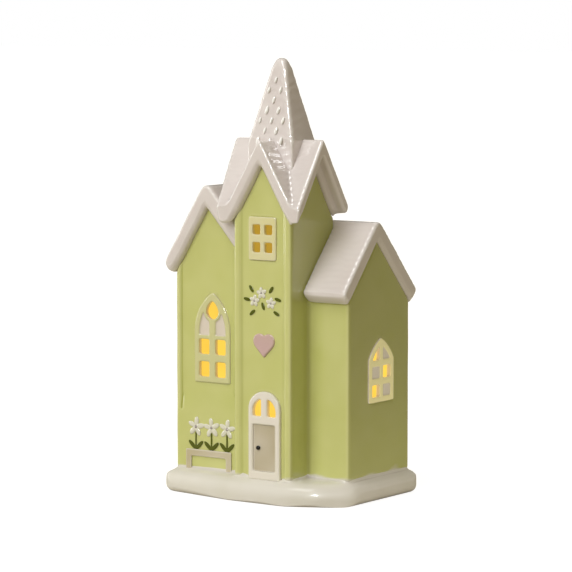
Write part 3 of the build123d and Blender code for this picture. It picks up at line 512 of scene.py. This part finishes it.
def soft_mesh(shape, grain, rounds, shaping, melting=None, carving=None):
    """A cast-looking mesh of a shape: even mesh, rounded edges, its own shaping, and how sharply it bends."""
    mesh = modified(as_mesh(shape), "REMESH", mode="VOXEL", voxel_size=grain)
    edges = rows_of(mesh.edges, "vertices", 2, np.int32)
    points = corners_of(mesh)
    points = relaxed(carving(points) if carving else points, edges, rounds)
    if melting:
        points = relaxed(points, edges, MELT_ROUNDS, 0.5 * melting(points)[:, None])
    move_corners(mesh, points)
    move_corners(mesh, shaping(corners_of(mesh), normals_of(mesh)))
    points = corners_of(mesh)
    bend = np.sum((points - relaxed(points, edges, BEND_ROUNDS)) * normals_of(mesh), axis=1)
    mark(mesh, "glaze_break", np.clip(bend / (SHARP_BEND * grain), -1, 1))
    triangles = sum(len(polygon.vertices) - 2 for polygon in mesh.polygons)
    if triangles > MOST_TRIANGLES:
        mesh = modified(mesh, "DECIMATE", ratio=MOST_TRIANGLES / triangles)
    mesh.shade_smooth()
    return mesh


def kept_inside(points, low, high):
    return np.clip(points, np.array(low), np.array(high))


def widened(node, reach):
    """A bmesh of one flat CAD node, grown sideways and upwards by a reach but left as thick as it is."""
    low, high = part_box(node)
    size = high - low
    thin = min(range(3), key=lambda axis: size[axis])
    shape = cast_shape(node)
    for corner in shape.verts:
        for axis in range(3):
            if axis != thin:
                share = (corner.co[axis] - low[axis]) / size[axis]
                corner.co[axis] += (2 * share - 1) * reach
    return shape


def add_piece(name, mesh, body, material, nodes=()):
    """Makes a mesh a piece of the object: its finish, the body that it rides on and what it stands for."""
    mesh.name = name
    mesh.materials.clear()
    mesh.materials.append(material)
    piece = new_object(name, mesh)
    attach(piece, body)
    if nodes:
        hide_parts(*nodes)
    return piece


def relief_of(node):
    """Axis that a relief faces along, the way that it faces, and the place of the wall behind it."""
    low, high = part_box(node)
    if high.x - low.x < high.y - low.y:
        return 0, 1, high.x - RELIEFS[node] * MM
    return 1, -1, low.y + RELIEFS[node] * MM


def cast_piece(node, material, grain, shaping=None, brushed=None, overlap=0.0, melting=None):
    """A soft copy of one CAD node of the house, under a glaze, with a second one brushed on where told."""
    low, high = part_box(node)
    reach = Vector((overlap, overlap, overlap))

    def shaped(points, normals):
        points = shaping(points, normals) if shaping else points
        if node in RELIEFS:
            axis, facing, wall = relief_of(node)
            proud = np.maximum(facing * (points[:, axis] - wall), 0)
            points[:, axis] -= facing * proud * (1 - RELIEF_SHARE)
        return kept_inside(points, low - reach, high + reach)

    shape = widened(node, overlap) if overlap else cast_shape(node)
    mesh = soft_mesh(shape, grain, ROUNDS[node], shaped, melting)
    if brushed:
        mark(mesh, "second_glaze", np.clip(brushed(corners_of(mesh) / MM), 0, 1))
    return add_piece(node + "_glazed", mesh, "house", material, [node])


def islands(node):
    """Middle and size of each separate solid of a CAD node, from left to right."""
    mesh = as_mesh(cast_shape(node))
    points = corners_of(mesh)
    found = []
    for triangles in mesh_linked_triangles(mesh):
        solid = points[[corner for triangle in triangles for corner in triangle.vertices]]
        low, high = Vector(solid.min(axis=0)), Vector(solid.max(axis=0))
        found.append(((low + high) / 2, high - low))
    return sorted(found, key=lambda item: item[0].x)


def bead_tree():
    """Geometry nodes that set one flattened bead on every point, turned by the point's own attribute."""
    name = "Beads on points"
    if name in bpy.data.node_groups:
        return bpy.data.node_groups[name]
    tree = bpy.data.node_groups.new(name, "GeometryNodeTree")
    for label, kind in (("Points", "NodeSocketGeometry"), ("Size", "NodeSocketVector"),
                        ("Unevenness", "NodeSocketFloat"), ("Seed", "NodeSocketInt"),
                        ("Material", "NodeSocketMaterial")):
        tree.interface.new_socket(label, in_out="INPUT", socket_type=kind)
    tree.interface.new_socket("Geometry", in_out="OUTPUT", socket_type="NodeSocketGeometry")
    add = partial(add_node, tree)
    given = add("NodeGroupInput")
    ball = add("GeometryNodeMeshUVSphere", {"Segments": 14, "Rings": 8, "Radius": 0.5})
    bead = add("GeometryNodeTransform", {"Geometry": ball, "Scale": given.outputs["Size"]})
    turn = add("GeometryNodeInputNamedAttribute", {"Name": "turn"}, data_type="FLOAT_VECTOR")
    smallest = add("ShaderNodeMath", {0: 1.0, 1: given.outputs["Unevenness"]}, operation="SUBTRACT")
    scale = add("FunctionNodeRandomValue", {2: smallest, 3: 1.0, "Seed": given.outputs["Seed"]},
                data_type="FLOAT")
    placed = add("GeometryNodeInstanceOnPoints", {
        "Points": given.outputs["Points"], "Instance": bead, "Rotation": turn, "Scale": scale})
    real = add("GeometryNodeRealizeInstances", {"Geometry": placed})
    smooth = add("GeometryNodeSetShadeSmooth", {"Geometry": real})
    finish = add("GeometryNodeSetMaterial", {"Geometry": smooth, "Material": given.outputs["Material"]})
    add("NodeGroupOutput", {"Geometry": finish})
    return tree


def beads(name, spots, turns, size, unevenness, seed, material):
    """A plain mesh of beads: one at each spot, with its turn, all of one size before unevenness."""
    mesh = bpy.data.meshes.new(name)
    mesh.from_pydata(spots, [], [])
    turned = mesh.attributes.new("turn", "FLOAT_VECTOR", "POINT")
    turned.data.foreach_set("vector", np.array(turns, np.float32).ravel())
    worker = new_object(name, mesh)
    modifier = worker.modifiers.new("Beads", "NODES")
    modifier.node_group = bead_tree()
    sockets = {item.name: item.identifier for item in modifier.node_group.interface.items_tree
               if item.in_out == "INPUT"}
    for label, value in (("Size", size), ("Unevenness", unevenness), ("Seed", seed), ("Material", material)):
        modifier[sockets[label]] = value
    done = evaluated(worker)
    worker.modifiers.clear()
    bpy.data.objects.remove(worker)
    return done


def uneven(amount, wave_mm):
    """Shaping that lets cast faces wander a little."""
    return lambda points, normals: points + normals * (swell(points, wave_mm) * amount)[:, None]


def domed(node, reach):
    """Shaping that swells a flat ornament on the front into a dome, which spreads out by a reach."""
    low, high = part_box(node)
    least = np.array((low.x - reach, low.y, low.z))
    most = np.array((high.x + reach, 2 * high.y - low.y, high.z + 2 * reach))

    def swollen(points, normals):
        start, end = points.min(axis=0), points.max(axis=0)
        return least + (points - start) / (end - start) * (most - least)

    return swollen


def coursed(points, normals, height, depth, slopes):
    """Raises low horizontal courses on faces whose normals point up by between the two given shares."""
    low, high = slopes
    up = normals[:, 2]
    rise = np.clip((up - low) / SLOPE_FADE, 0, 1) * np.clip((high - up) / SLOPE_FADE, 0, 1)
    phase = points[:, 2] / height
    for wander, wave_mm in COURSE_LINES:
        phase = phase + wander * swell(points, wave_mm)
    lip = 0.5 * np.cos(2 * math.pi * phase) * (0.6 + 0.4 * swell(points, COURSE_WAVE))
    return points + normals * (lip * depth * rise)[:, None]


def full_roof(points, normals, forms):
    """Shaping that fills a roof out with thick glaze, and lets it wander a little."""
    return uneven(forms.unevenness, ROOF_WAVE)(points, normals) + normals * forms.fullness


def settings_of(context):
    return context.scene.village_forms, context.scene.village_glazes


class VILLAGE_OT_walls(bpy.types.Operator):
    """Green walls of the wing, tower and nave, with the lamplit lining inside them"""

    bl_idname = "village.walls"
    bl_label = "Walls"

    def execute(self, context):
        forms, glazes = settings_of(context)
        # The green's pooled colour also lies as painted shade near other surfaces and on the side walls.
        green = shared("green_gloss_glaze", glaze, glazes.wall, glazes.wall_thin, glazes.wall_pooled,
                       second=glazes.ground, shade_mm=3.0, sides=0.45)
        lining = shared("lamplit_bisque", lamplit_lining, glazes.lamplight, glazes.lamplight_far)
        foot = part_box("wall_shell")[0].z / MM

        def snowed(points):
            line = foot + forms.foot_snow / MM * (1 + SNOW_WANDER * swell(points * MM, SNOW_WAVE))
            return (line - points[:, 2]) / SNOW_EDGE + 0.5

        def faded(points, normals):
            points = uneven(forms.unevenness, WALL_WAVE)(points, normals)
            x, y, z = points.T / MM
            left, right, face, depth, sill, fade = WING_PANEL
            sunk = (x > left) & (x < right) & (y < face + 1.5 * depth) & (z > sill - depth)
            share = np.clip((z - sill) / fade, 0, 1)
            deepest = (face + depth * share * share * (3 - 2 * share)) * MM
            points[:, 1] = np.where(sunk, np.minimum(points[:, 1], deepest), points[:, 1])
            groove = np.exp(-((x - left - GROOVE_WIDTH) / GROOVE_WIDTH) ** 2)
            groove = groove * np.clip((z - sill) / depth, 0, 1) * GROOVE_DEPTH * MM
            points[:, 1] += np.where(np.abs(y - face) < 2 * depth, groove, 0)
            return points

        piece = cast_piece("wall_shell", green, forms.wall_grain, faded, snowed)
        piece.data.materials.append(lining)
        x, y, z = rows_of(piece.data.polygons, "center", 3).T / MM
        inside = self.within(TOWER_ROOM, x, y)
        inside |= self.within(WING_ROOM, x, y) & self.under(WING_CREST, x, z)
        inside |= self.within(NAVE_ROOM, x, y) & self.under(NAVE_CREST, y, z)
        piece.data.polygons.foreach_set("material_index", inside.astype(np.int32))
        return {"FINISHED"}

    def within(self, room, x, y):
        left, right, front, back = room
        return (x > left) & (x < right) & (y > front) & (y < back)

    def under(self, crest, across, z):
        place, height, fall_left, fall_right = crest
        return z < height - np.maximum(fall_left * (place - across), fall_right * (across - place))


class VILLAGE_OT_base(bpy.types.Operator):
    """White base, whose snow laps up round the foot of the walls"""

    bl_idname = "village.base"
    bl_label = "Snow base"

    def execute(self, context):
        forms, glazes = settings_of(context)
        low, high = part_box("snow_base")
        shape = cast_shape("snow_base")
        foot = cast_shape("wall_shell")
        foot.normal_update()
        for corner in foot.verts:
            corner.co -= corner.normal * forms.lap_inset * corner.calc_shell_factor()
        top = high.z + forms.snow_lap
        cut = bmesh.ops.bisect_plane(foot, geom=[*foot.verts, *foot.edges, *foot.faces], plane_co=(0, 0, top),
                                     plane_no=(0, 0, 1), clear_outer=True)
        rim = [item for item in cut["geom_cut"] if isinstance(item, bmesh.types.BMEdge)]
        bmesh.ops.triangle_fill(foot, edges=rim, use_beauty=True)
        shape.from_mesh(as_mesh(foot))
        middle = (low + high) / 2

        def carved(points):
            depth, inward = self.depth_in_plan(points)
            rise = high.z - ROUND_FROM * MM
            collar = (points[:, 2] > high.z + forms.roof_grain) & (depth > COLLAR_FROM * ROUND_DEPTH)
            across = np.clip(1 - depth / ROUND_DEPTH, 0, None)
            up = np.clip((points[:, 2] - ROUND_FROM * MM) / rise, 0, None)
            past = np.where(collar, 1, np.maximum(np.hypot(across, up), 1))
            points[:, :2] += (across - across / past)[:, None] * inward * ROUND_DEPTH * MM
            points[:, 2] -= (up - up / past) * rise
            return points

        def lumpy(points, normals):
            side = np.clip(1 - np.abs(normals[:, 2]), 0, 1) * (points[:, 2] < high.z)
            outward = np.sum(normals[:, :2] * (points[:, :2] - np.array(middle)[:2]), axis=1) > 0
            wander = (0.5 + 0.5 * swell(points, BASE_WAVE)) * side * outward
            points = points - normals * (wander * forms.snow_lump)[:, None]
            return kept_inside(points, low, (high.x, high.y, top))

        def melting(points):
            deep = np.clip(self.depth_in_plan(points)[0] - MELT_FROM * ROUND_DEPTH, 0, 1)
            return deep * (points[:, 2] > MELT_ABOVE * high.z)

        mesh = soft_mesh(shape, forms.roof_grain, ROUNDS["snow_base"], lumpy, melting, carved)
        white = shared("ground_white_glaze", glaze, glazes.ground, glazes.snow_thin, glazes.snow_pooled,
                       gloss=0.4, wet=0.3)
        add_piece("snow_base_glazed", mesh, "house", white, ["snow_base"])
        return {"FINISHED"}

    def depth_in_plan(self, points):
        """How deep points lie inside the base's soft outline, in millimetres, and the way inwards."""
        starts = np.array(BASE_PLAN)
        along = np.roll(starts, -1, axis=0) - starts
        inward = np.stack([-along[:, 1], along[:, 0]], axis=1) / np.linalg.norm(along, axis=1)[:, None]
        nearness = np.exp((np.sum(starts * inward, axis=1) - points[:, :2] / MM @ inward.T) / PLAN_SOFT)
        total = np.sum(nearness, axis=1)
        return PLAN_ROOM - PLAN_SOFT * np.log(total), nearness @ inward / total[:, None]


class VILLAGE_OT_roofs(bpy.types.Operator):
    """White roofs of the wing, nave and tower, with low courses under thick glaze"""

    bl_idname = "village.roofs"
    bl_label = "Roofs"

    def execute(self, context):
        forms, glazes = settings_of(context)
        white = snow_glaze(glazes)

        def slated(points, normals):
            points = full_roof(points, normals, forms)
            return coursed(points, normals, forms.course_height, forms.course_depth, ROOF_SLOPES)

        for node in ("wing_roof", "nave_roof", "tower_roof"):
            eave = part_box(node)[0].z + forms.eave_drop

            def melting(points):
                return np.clip(2 * (eave - points[:, 2]) / forms.eave_drop, 0, 1)

            cast_piece(node, white, forms.roof_grain, slated, melting=melting)
        return {"FINISHED"}


class VILLAGE_OT_spire(bpy.types.Operator):
    """White spire with rows of raised shingles"""

    bl_idname = "village.spire"
    bl_label = "Spire"

    def execute(self, context):
        forms, glazes = settings_of(context)
        low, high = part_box("spire")

        def banded(points, normals):
            points = full_roof(points, normals, forms)
            lost = high.z - points[:, 2].max()
            drawn = TIP_DRAW * forms.spire_tip
            points[:, 2] += lost * np.clip((points[:, 2] - high.z + drawn) / drawn, 0, 1)
            return coursed(points, normals, forms.spire_course, forms.course_depth, SPIRE_SLOPES)

        def melting(points):
            return np.clip((points[:, 2] - high.z + forms.spire_tip) / (TIP_MELT * forms.spire_tip), 0, 1)

        cast_piece("spire", snow_glaze(glazes), forms.roof_grain, banded, melting=melting)
        axis = (low + high) / 2
        half = (high - low) / 2
        slope = SPIRE_SLOPE * MM
        foot = high.z - slope
        lean = math.atan((1 - SPIRE_CAP_SHARE) * half.y / slope)
        spots, turns = [], []
        for facing in (-1, 1):
            for row in range(int(slope / forms.spire_course)):
                rise = row * forms.spire_course
                share = 1 - (1 - SPIRE_CAP_SHARE) * rise / slope
                out = facing * (share * half.y + SHINGLE_SEAT * forms.shingle_relief)
                for step in range(-SHINGLES_ASIDE, SHINGLES_ASIDE + 1):
                    across = (step + (row % 2) / 2) * forms.shingle_pitch
                    if abs(across) < share * half.x - SHINGLE_MARGIN * forms.shingle_width:
                        spots.append((axis.x + across, axis.y + out, foot + rise))
                        turns.append((facing * lean, SHINGLE_SLANT, 0))
        size = (forms.shingle_width, 2 * forms.shingle_relief, forms.shingle_height)
        # Painted highlight: the shingles get a whiter glaze than the spire, so that they read as glints.
        highlight_white = shared("thin_white_glaze", glaze, glazes.shingle, glazes.shingle, glazes.shingle, gloss=0.45)
        mesh = beads("spire_shingles", spots, turns, size, SHINGLE_UNEVENNESS, forms.seed, highlight_white)
        add_piece("spire_shingles", mesh, "house", highlight_white)
        return {"FINISHED"}


class VILLAGE_OT_windows(bpy.types.Operator):
    """Cream window frames with their bars and blind lights"""

    bl_idname = "village.windows"
    bl_label = "Windows"

    def execute(self, context):
        forms, glazes = settings_of(context)
        cream = shared("cream_gloss_glaze", glaze, glazes.cream, glazes.petal, glazes.cream_pooled)
        blush = shared("blush_gloss_glaze", glaze, glazes.tracery, glazes.petal, glazes.leaf,
                       second=glazes.wing_rim)
        # The nave window's glaze carries a painted lamplight glow.
        stone = shared("stone_gloss_glaze", glaze, glazes.nave_blind, glazes.surround, glazes.leaf,
                       second=glazes.nave_rim, glow=0.25)
        for node, finish, front in (("tower_window", cream, None),
                                    ("wing_window", blush, self.front("wing_window")),
                                    ("nave_window", stone, self.front("nave_window"))):
            cast_piece(node, finish, forms.relief_grain, brushed=front, overlap=forms.overlap)
        return {"FINISHED"}

    def front(self, node):
        """Share of the front's glaze: full on the rim and the bars, none on what is sunk between them."""
        axis, facing, wall = relief_of(node)
        half = RELIEFS[node] * RELIEF_SHARE / 2
        return lambda points: (facing * (points[:, axis] - wall / MM) - half) / half + 0.5


class VILLAGE_OT_door(bpy.types.Operator):
    """Arched door surround, the door and its knob"""

    bl_idname = "village.door"
    bl_label = "Door"

    def execute(self, context):
        forms, glazes = settings_of(context)
        pale = shared("pale_gloss_glaze", glaze, glazes.surround, glazes.petal, glazes.leaf)
        greige = shared("greige_gloss_glaze", glaze, glazes.leaf, glazes.surround, glazes.leaf_pooled)
        black = shared("black_gloss_glaze", glaze, glazes.knob, glazes.knob, glazes.knob, gloss=0.12, wet=0.0)
        cast_piece("door_surround", pale, forms.relief_grain, overlap=forms.overlap)
        cast_piece("door_leaf", greige, forms.relief_grain, overlap=forms.overlap)
        cast_piece("door_knob", black, KNOB_GRAIN * forms.trim_grain)
        return {"FINISHED"}


def flowers(name, node, eyes, long, wide, forms, glazes):
    """The flowers of a group, whose petals and eyes are beads set on the wall."""
    white = shared("white_petal_glaze", glaze, glazes.petal, glazes.petal, glazes.eye)
    grey = shared("grey_gloss_glaze", glaze, glazes.eye, glazes.eye, glazes.leaf_pooled)
    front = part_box(node)[1].y - PETAL_LIFT * MM
    found = islands(eyes)
    reach = PETAL_REACH * long
    spots, turns = [], []
    for number, (middle, _) in enumerate(found):
        sway = PETAL_SWAY * math.sin(3.1 * number + forms.seed)
        for petal in range(PETALS):
            angle = math.pi / 2 + petal * 2 * math.pi / PETALS + sway
            spots.append((middle.x + reach * math.cos(angle), front, middle.z + reach * math.sin(angle)))
            turns.append((0, -angle, 0))
    size = (long, 2 * forms.petal_relief, wide)
    mesh = beads(name, spots, turns, size, PETAL_UNEVENNESS, forms.seed, white)
    add_piece(name, mesh, "house", white, [node])
    middles = [(middle.x, front, middle.z) for middle, _ in found]
    across = found[0][1]
    size = (across.x, EYE_THICKNESS * forms.petal_relief, across.z)
    mesh = beads(eyes, middles, [(0, 0, 0)] * len(middles), size, PETAL_UNEVENNESS, forms.seed, grey)
    add_piece(eyes + "_glazed", mesh, "house", grey, [eyes])


class VILLAGE_OT_heart_and_spray(bpy.types.Operator):
    """Pink heart and the small spray of flowers on the tower"""

    bl_idname = "village.heart_and_spray"
    bl_label = "Heart and spray"

    def execute(self, context):
        forms, glazes = settings_of(context)
        pink = shared("pink_gloss_glaze", glaze, glazes.heart, glazes.heart_edge, glazes.heart)
        cast_piece("heart", pink, forms.trim_grain, domed("heart", forms.heart_spread),
                   overlap=2 * forms.heart_spread)
        flowers("spray_petals", "spray_flowers", "spray_centres", forms.spray_petal,
                SPRAY_WIDTH * forms.spray_petal, forms, glazes)
        cast_piece("spray_leaves", olive_glaze(glazes), LEAF_GRAIN * forms.trim_grain)
        return {"FINISHED"}


class VILLAGE_OT_planter_and_daisies(bpy.types.Operator):
    """Planter with three daisies at the foot of the wing"""

    bl_idname = "village.planter_and_daisies"
    bl_label = "Planter and daisies"

    def execute(self, context):
        forms, glazes = settings_of(context)
        taupe = shared("taupe_gloss_glaze", glaze, glazes.planter, glazes.surround, glazes.leaf_pooled)
        cast_piece("planter", taupe, forms.relief_grain)
        flowers("daisy_petals", "daisy_heads", "daisy_centres", forms.daisy_petal,
                DAISY_WIDTH * forms.daisy_petal, forms, glazes)
        cast_piece("daisy_stems", olive_glaze(glazes), LEAF_GRAIN * forms.trim_grain)
        return {"FINISHED"}


class VILLAGE_OT_lamp_unit(bpy.types.Operator):
    """Finishes of the lamp unit, its battery door, cells, switch and board"""

    bl_idname = "village.lamp_unit"
    bl_label = "Lamp unit"

    def execute(self, context):
        white = shared("moulded_white_abs", moulded, "#E6E3DC", 0.45, 0.5)
        black = shared("moulded_black_abs", moulded, "#1B1B1C", 0.4, 0.5)
        steel = shared("zinc_plated_steel", plated, "#B9BBBC", 0.3, 0.6)
        nickel = shared("nickel_plated_spring_steel", plated, "#C9C6BC", 0.22, 0.5)
        wrap = shared("shrink_wrapped_cell", moulded, "#2F5B8C", 0.3, 1.2)
        finishes = {
            "mounting_sleeve": shared("cast_silicone", moulded, "#DAD8D0", 0.6, 0.8, ior=1.41),
            "lamp_housing": white, "battery_door": white, "door_screw": steel, "board_screws": steel,
            "cell_front": wrap, "cell_rear": wrap,
            "contact_positive": nickel, "contact_negative": nickel, "contact_bridge": nickel,
            "switch_body": black, "switch_knob": black, "resistor": black,
            "switch_leads": shared("extruded_red_pvc", moulded, "#A32626", 0.4, 0.6),
            "led_board": shared("white_solder_mask", moulded, "#DEDDD6", 0.35, 1.0),
            "leds": shared("clear_epoxy_lens", moulded, "#FFE9B0", 0.1, 2.0, ior=1.53, glow="#FFD98A",
                           strength=2.5),
            "diffuser": shared("frosted_polycarbonate", moulded, "#EFE8DA", 0.55, 0.6, ior=1.58,
                               glow="#FFD98A", strength=0.45),
        }
        for node, material in finishes.items():
            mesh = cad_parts[node].data
            mesh.materials.clear()
            mesh.materials.append(material)
        return {"FINISHED"}


def add_light(name, kind, place, target, **settings):
    """A lamp at a place, aimed at a target."""
    data = bpy.data.lights.new(name, kind)
    for key, value in settings.items():
        setattr(data, key, value)
    lamp = new_object(name, data)
    lamp.location = place
    lamp.rotation_euler = (Vector(target) - Vector(place)).to_track_quat("-Z", "Y").to_euler()
    return lamp


def bearing(turn, tilt, distance):
    """A point seen from the lamps' aim at that turn from the front and that height angle, in degrees."""
    turn, tilt = math.radians(turn), math.radians(tilt)
    away = Vector((math.sin(turn) * math.cos(tilt), -math.cos(turn) * math.cos(tilt), math.sin(tilt)))
    return away * distance + AIM


class VILLAGE_OT_stage(bpy.types.Operator):
    """Floor, soft studio light and the camera"""

    bl_idname = "village.stage"
    bl_label = "Stage"

    def execute(self, context):
        stage = context.scene.village_stage
        self.lay_floor(stage)
        self.light_world(context.scene, stage)
        for name, (turn, tilt, width, strength) in SUNS.items():
            sun = add_light(name, "SUN", bearing(turn, tilt, SUN_DISTANCE), AIM, energy=strength,
                            angle=math.radians(width), color=SUN_TINT)
            sun.visible_glossy = name == "glint"
            sun.visible_diffuse = name != "glint"
        for name, (turn, tilt, width, height, brightness) in LAMPS.items():
            add_light(name, "AREA", bearing(turn, tilt, LAMP_DISTANCE), AIM, shape="RECTANGLE", size=width,
                      size_y=height, energy=math.pi * width * height * brightness)
        width, height = CARD_SIZE
        card = add_light("floor_card", "AREA", stage.card_place, (0, 0, stage.card_place[2]),
                         shape="RECTANGLE", size=width, size_y=height, energy=stage.card)
        card.visible_camera = False
        card.visible_glossy = False
        data = bpy.data.cameras.new("photo_camera")
        data.sensor_fit = "HORIZONTAL"
        data.sensor_width = SENSOR
        data.lens = stage.lens
        data.clip_end = FAR
        camera = new_object("photo_camera", data)
        camera.location = stage.camera_place
        camera.rotation_euler = (math.pi / 2 - stage.camera_tilt, 0, stage.camera_turn)
        context.scene.camera = camera
        context.scene.view_settings.view_transform = "Standard"
        return {"FINISHED"}

    def lay_floor(self, stage):
        """A plain floor that keeps the shadow. It can be seen through from below, and is open under the base,
        so that the underside shows and the lamp unit can be drawn out."""
        mesh = bpy.data.meshes.new("floor")
        corners = [(x * share * MM, y * share * MM, 0) for share in FLOOR_SHARES for x, y in BASE_PLAN]
        count = len(BASE_PLAN)
        mesh.from_pydata(corners, [], [(side, (side + 1) % count, (side + 1) % count + count, side + count)
                                       for side in range(count)])
        material, add = new_material("painted_floor")
        seen = add("ShaderNodeLightPath").outputs["Is Camera Ray"]
        tone = add("ShaderNodeMix", {"Factor": seen, "A": opaque(stage.reflected), "B": opaque(stage.floor)},
                   data_type="RGBA")
        matt = add("ShaderNodeBsdfDiffuse", {"Color": tone})
        paper = add("ShaderNodeEmission", {"Color": WHITE, "Strength": FLOOR_WHITE})
        lift = add("ShaderNodeMath", {0: seen, 1: FLOOR_LIFT}, operation="MULTIPLY")
        painted = add("ShaderNodeMixShader", {0: lift, 1: matt, 2: paper})
        below = add("ShaderNodeNewGeometry").outputs["Backfacing"]
        clear = add("ShaderNodeBsdfTransparent")
        shader = add("ShaderNodeMixShader", {0: below, 1: painted, 2: clear})
        add("ShaderNodeOutputMaterial", {"Surface": shader})
        mesh.materials.append(material)
        floor = new_object("floor", mesh)

    def light_world(self, scene, stage):
        """Soft light from all round, dimmer in the glazes' reflections, and plain white to the camera."""
        world = bpy.data.worlds.new("studio")
        world.use_nodes = True
        world.node_tree.nodes.clear()
        add = partial(add_node, world.node_tree)
        rays = add("ShaderNodeLightPath").outputs
        seen = add("ShaderNodeMath", {0: rays["Is Camera Ray"], 1: rays["Is Transmission Ray"]},
                   operation="MAXIMUM")
        soft = add("ShaderNodeBackground", {"Color": opaque(stage.fill), "Strength": stage.ambient})
        dim = add("ShaderNodeBackground", {"Color": opaque(stage.reflected), "Strength": stage.ambient})
        white = add("ShaderNodeBackground", {"Color": WHITE, "Strength": 1.0})
        room = add("ShaderNodeMixShader", {0: rays["Is Glossy Ray"], 1: soft, 2: dim})
        both = add("ShaderNodeMixShader", {0: seen, 1: room, 2: white})
        add("ShaderNodeOutputWorld", {"Surface": both})
        scene.world = world


STEPS = (VILLAGE_OT_walls, VILLAGE_OT_base, VILLAGE_OT_roofs, VILLAGE_OT_spire, VILLAGE_OT_windows,
         VILLAGE_OT_door, VILLAGE_OT_heart_and_spray, VILLAGE_OT_planter_and_daisies, VILLAGE_OT_lamp_unit,
         VILLAGE_OT_stage)


class VILLAGE_PT_house(bpy.types.Panel):
    """Lists the steps and the settings"""

    bl_idname = "VILLAGE_PT_house"
    bl_label = "Ceramic village house"
    bl_space_type = "VIEW_3D"
    bl_region_type = "UI"
    bl_category = "Village"

    def draw(self, context):
        for step in STEPS:
            self.layout.operator(step.bl_idname)
        for group in (context.scene.village_glazes, context.scene.village_forms, context.scene.village_stage):
            box = self.layout.box()
            for name in group.__annotations__:
                box.prop(group, name)


GROUPS = {"village_glazes": HouseGlazes, "village_forms": HouseForms, "village_stage": HouseStage}
CLASSES = (*GROUPS.values(), *STEPS, VILLAGE_PT_house)


def register():
    for kind in CLASSES:
        bpy.utils.register_class(kind)
    for name, kind in GROUPS.items():
        setattr(bpy.types.Scene, name, PointerProperty(type=kind))


def unregister():
    for name in GROUPS:
        delattr(bpy.types.Scene, name)
    for kind in reversed(CLASSES):
        bpy.utils.unregister_class(kind)


def main():
    register()
    for step in STEPS:
        family, name = step.bl_idname.split(".")
        getattr(getattr(bpy.ops, family), name)()


if __name__ == "__main__":
    main()
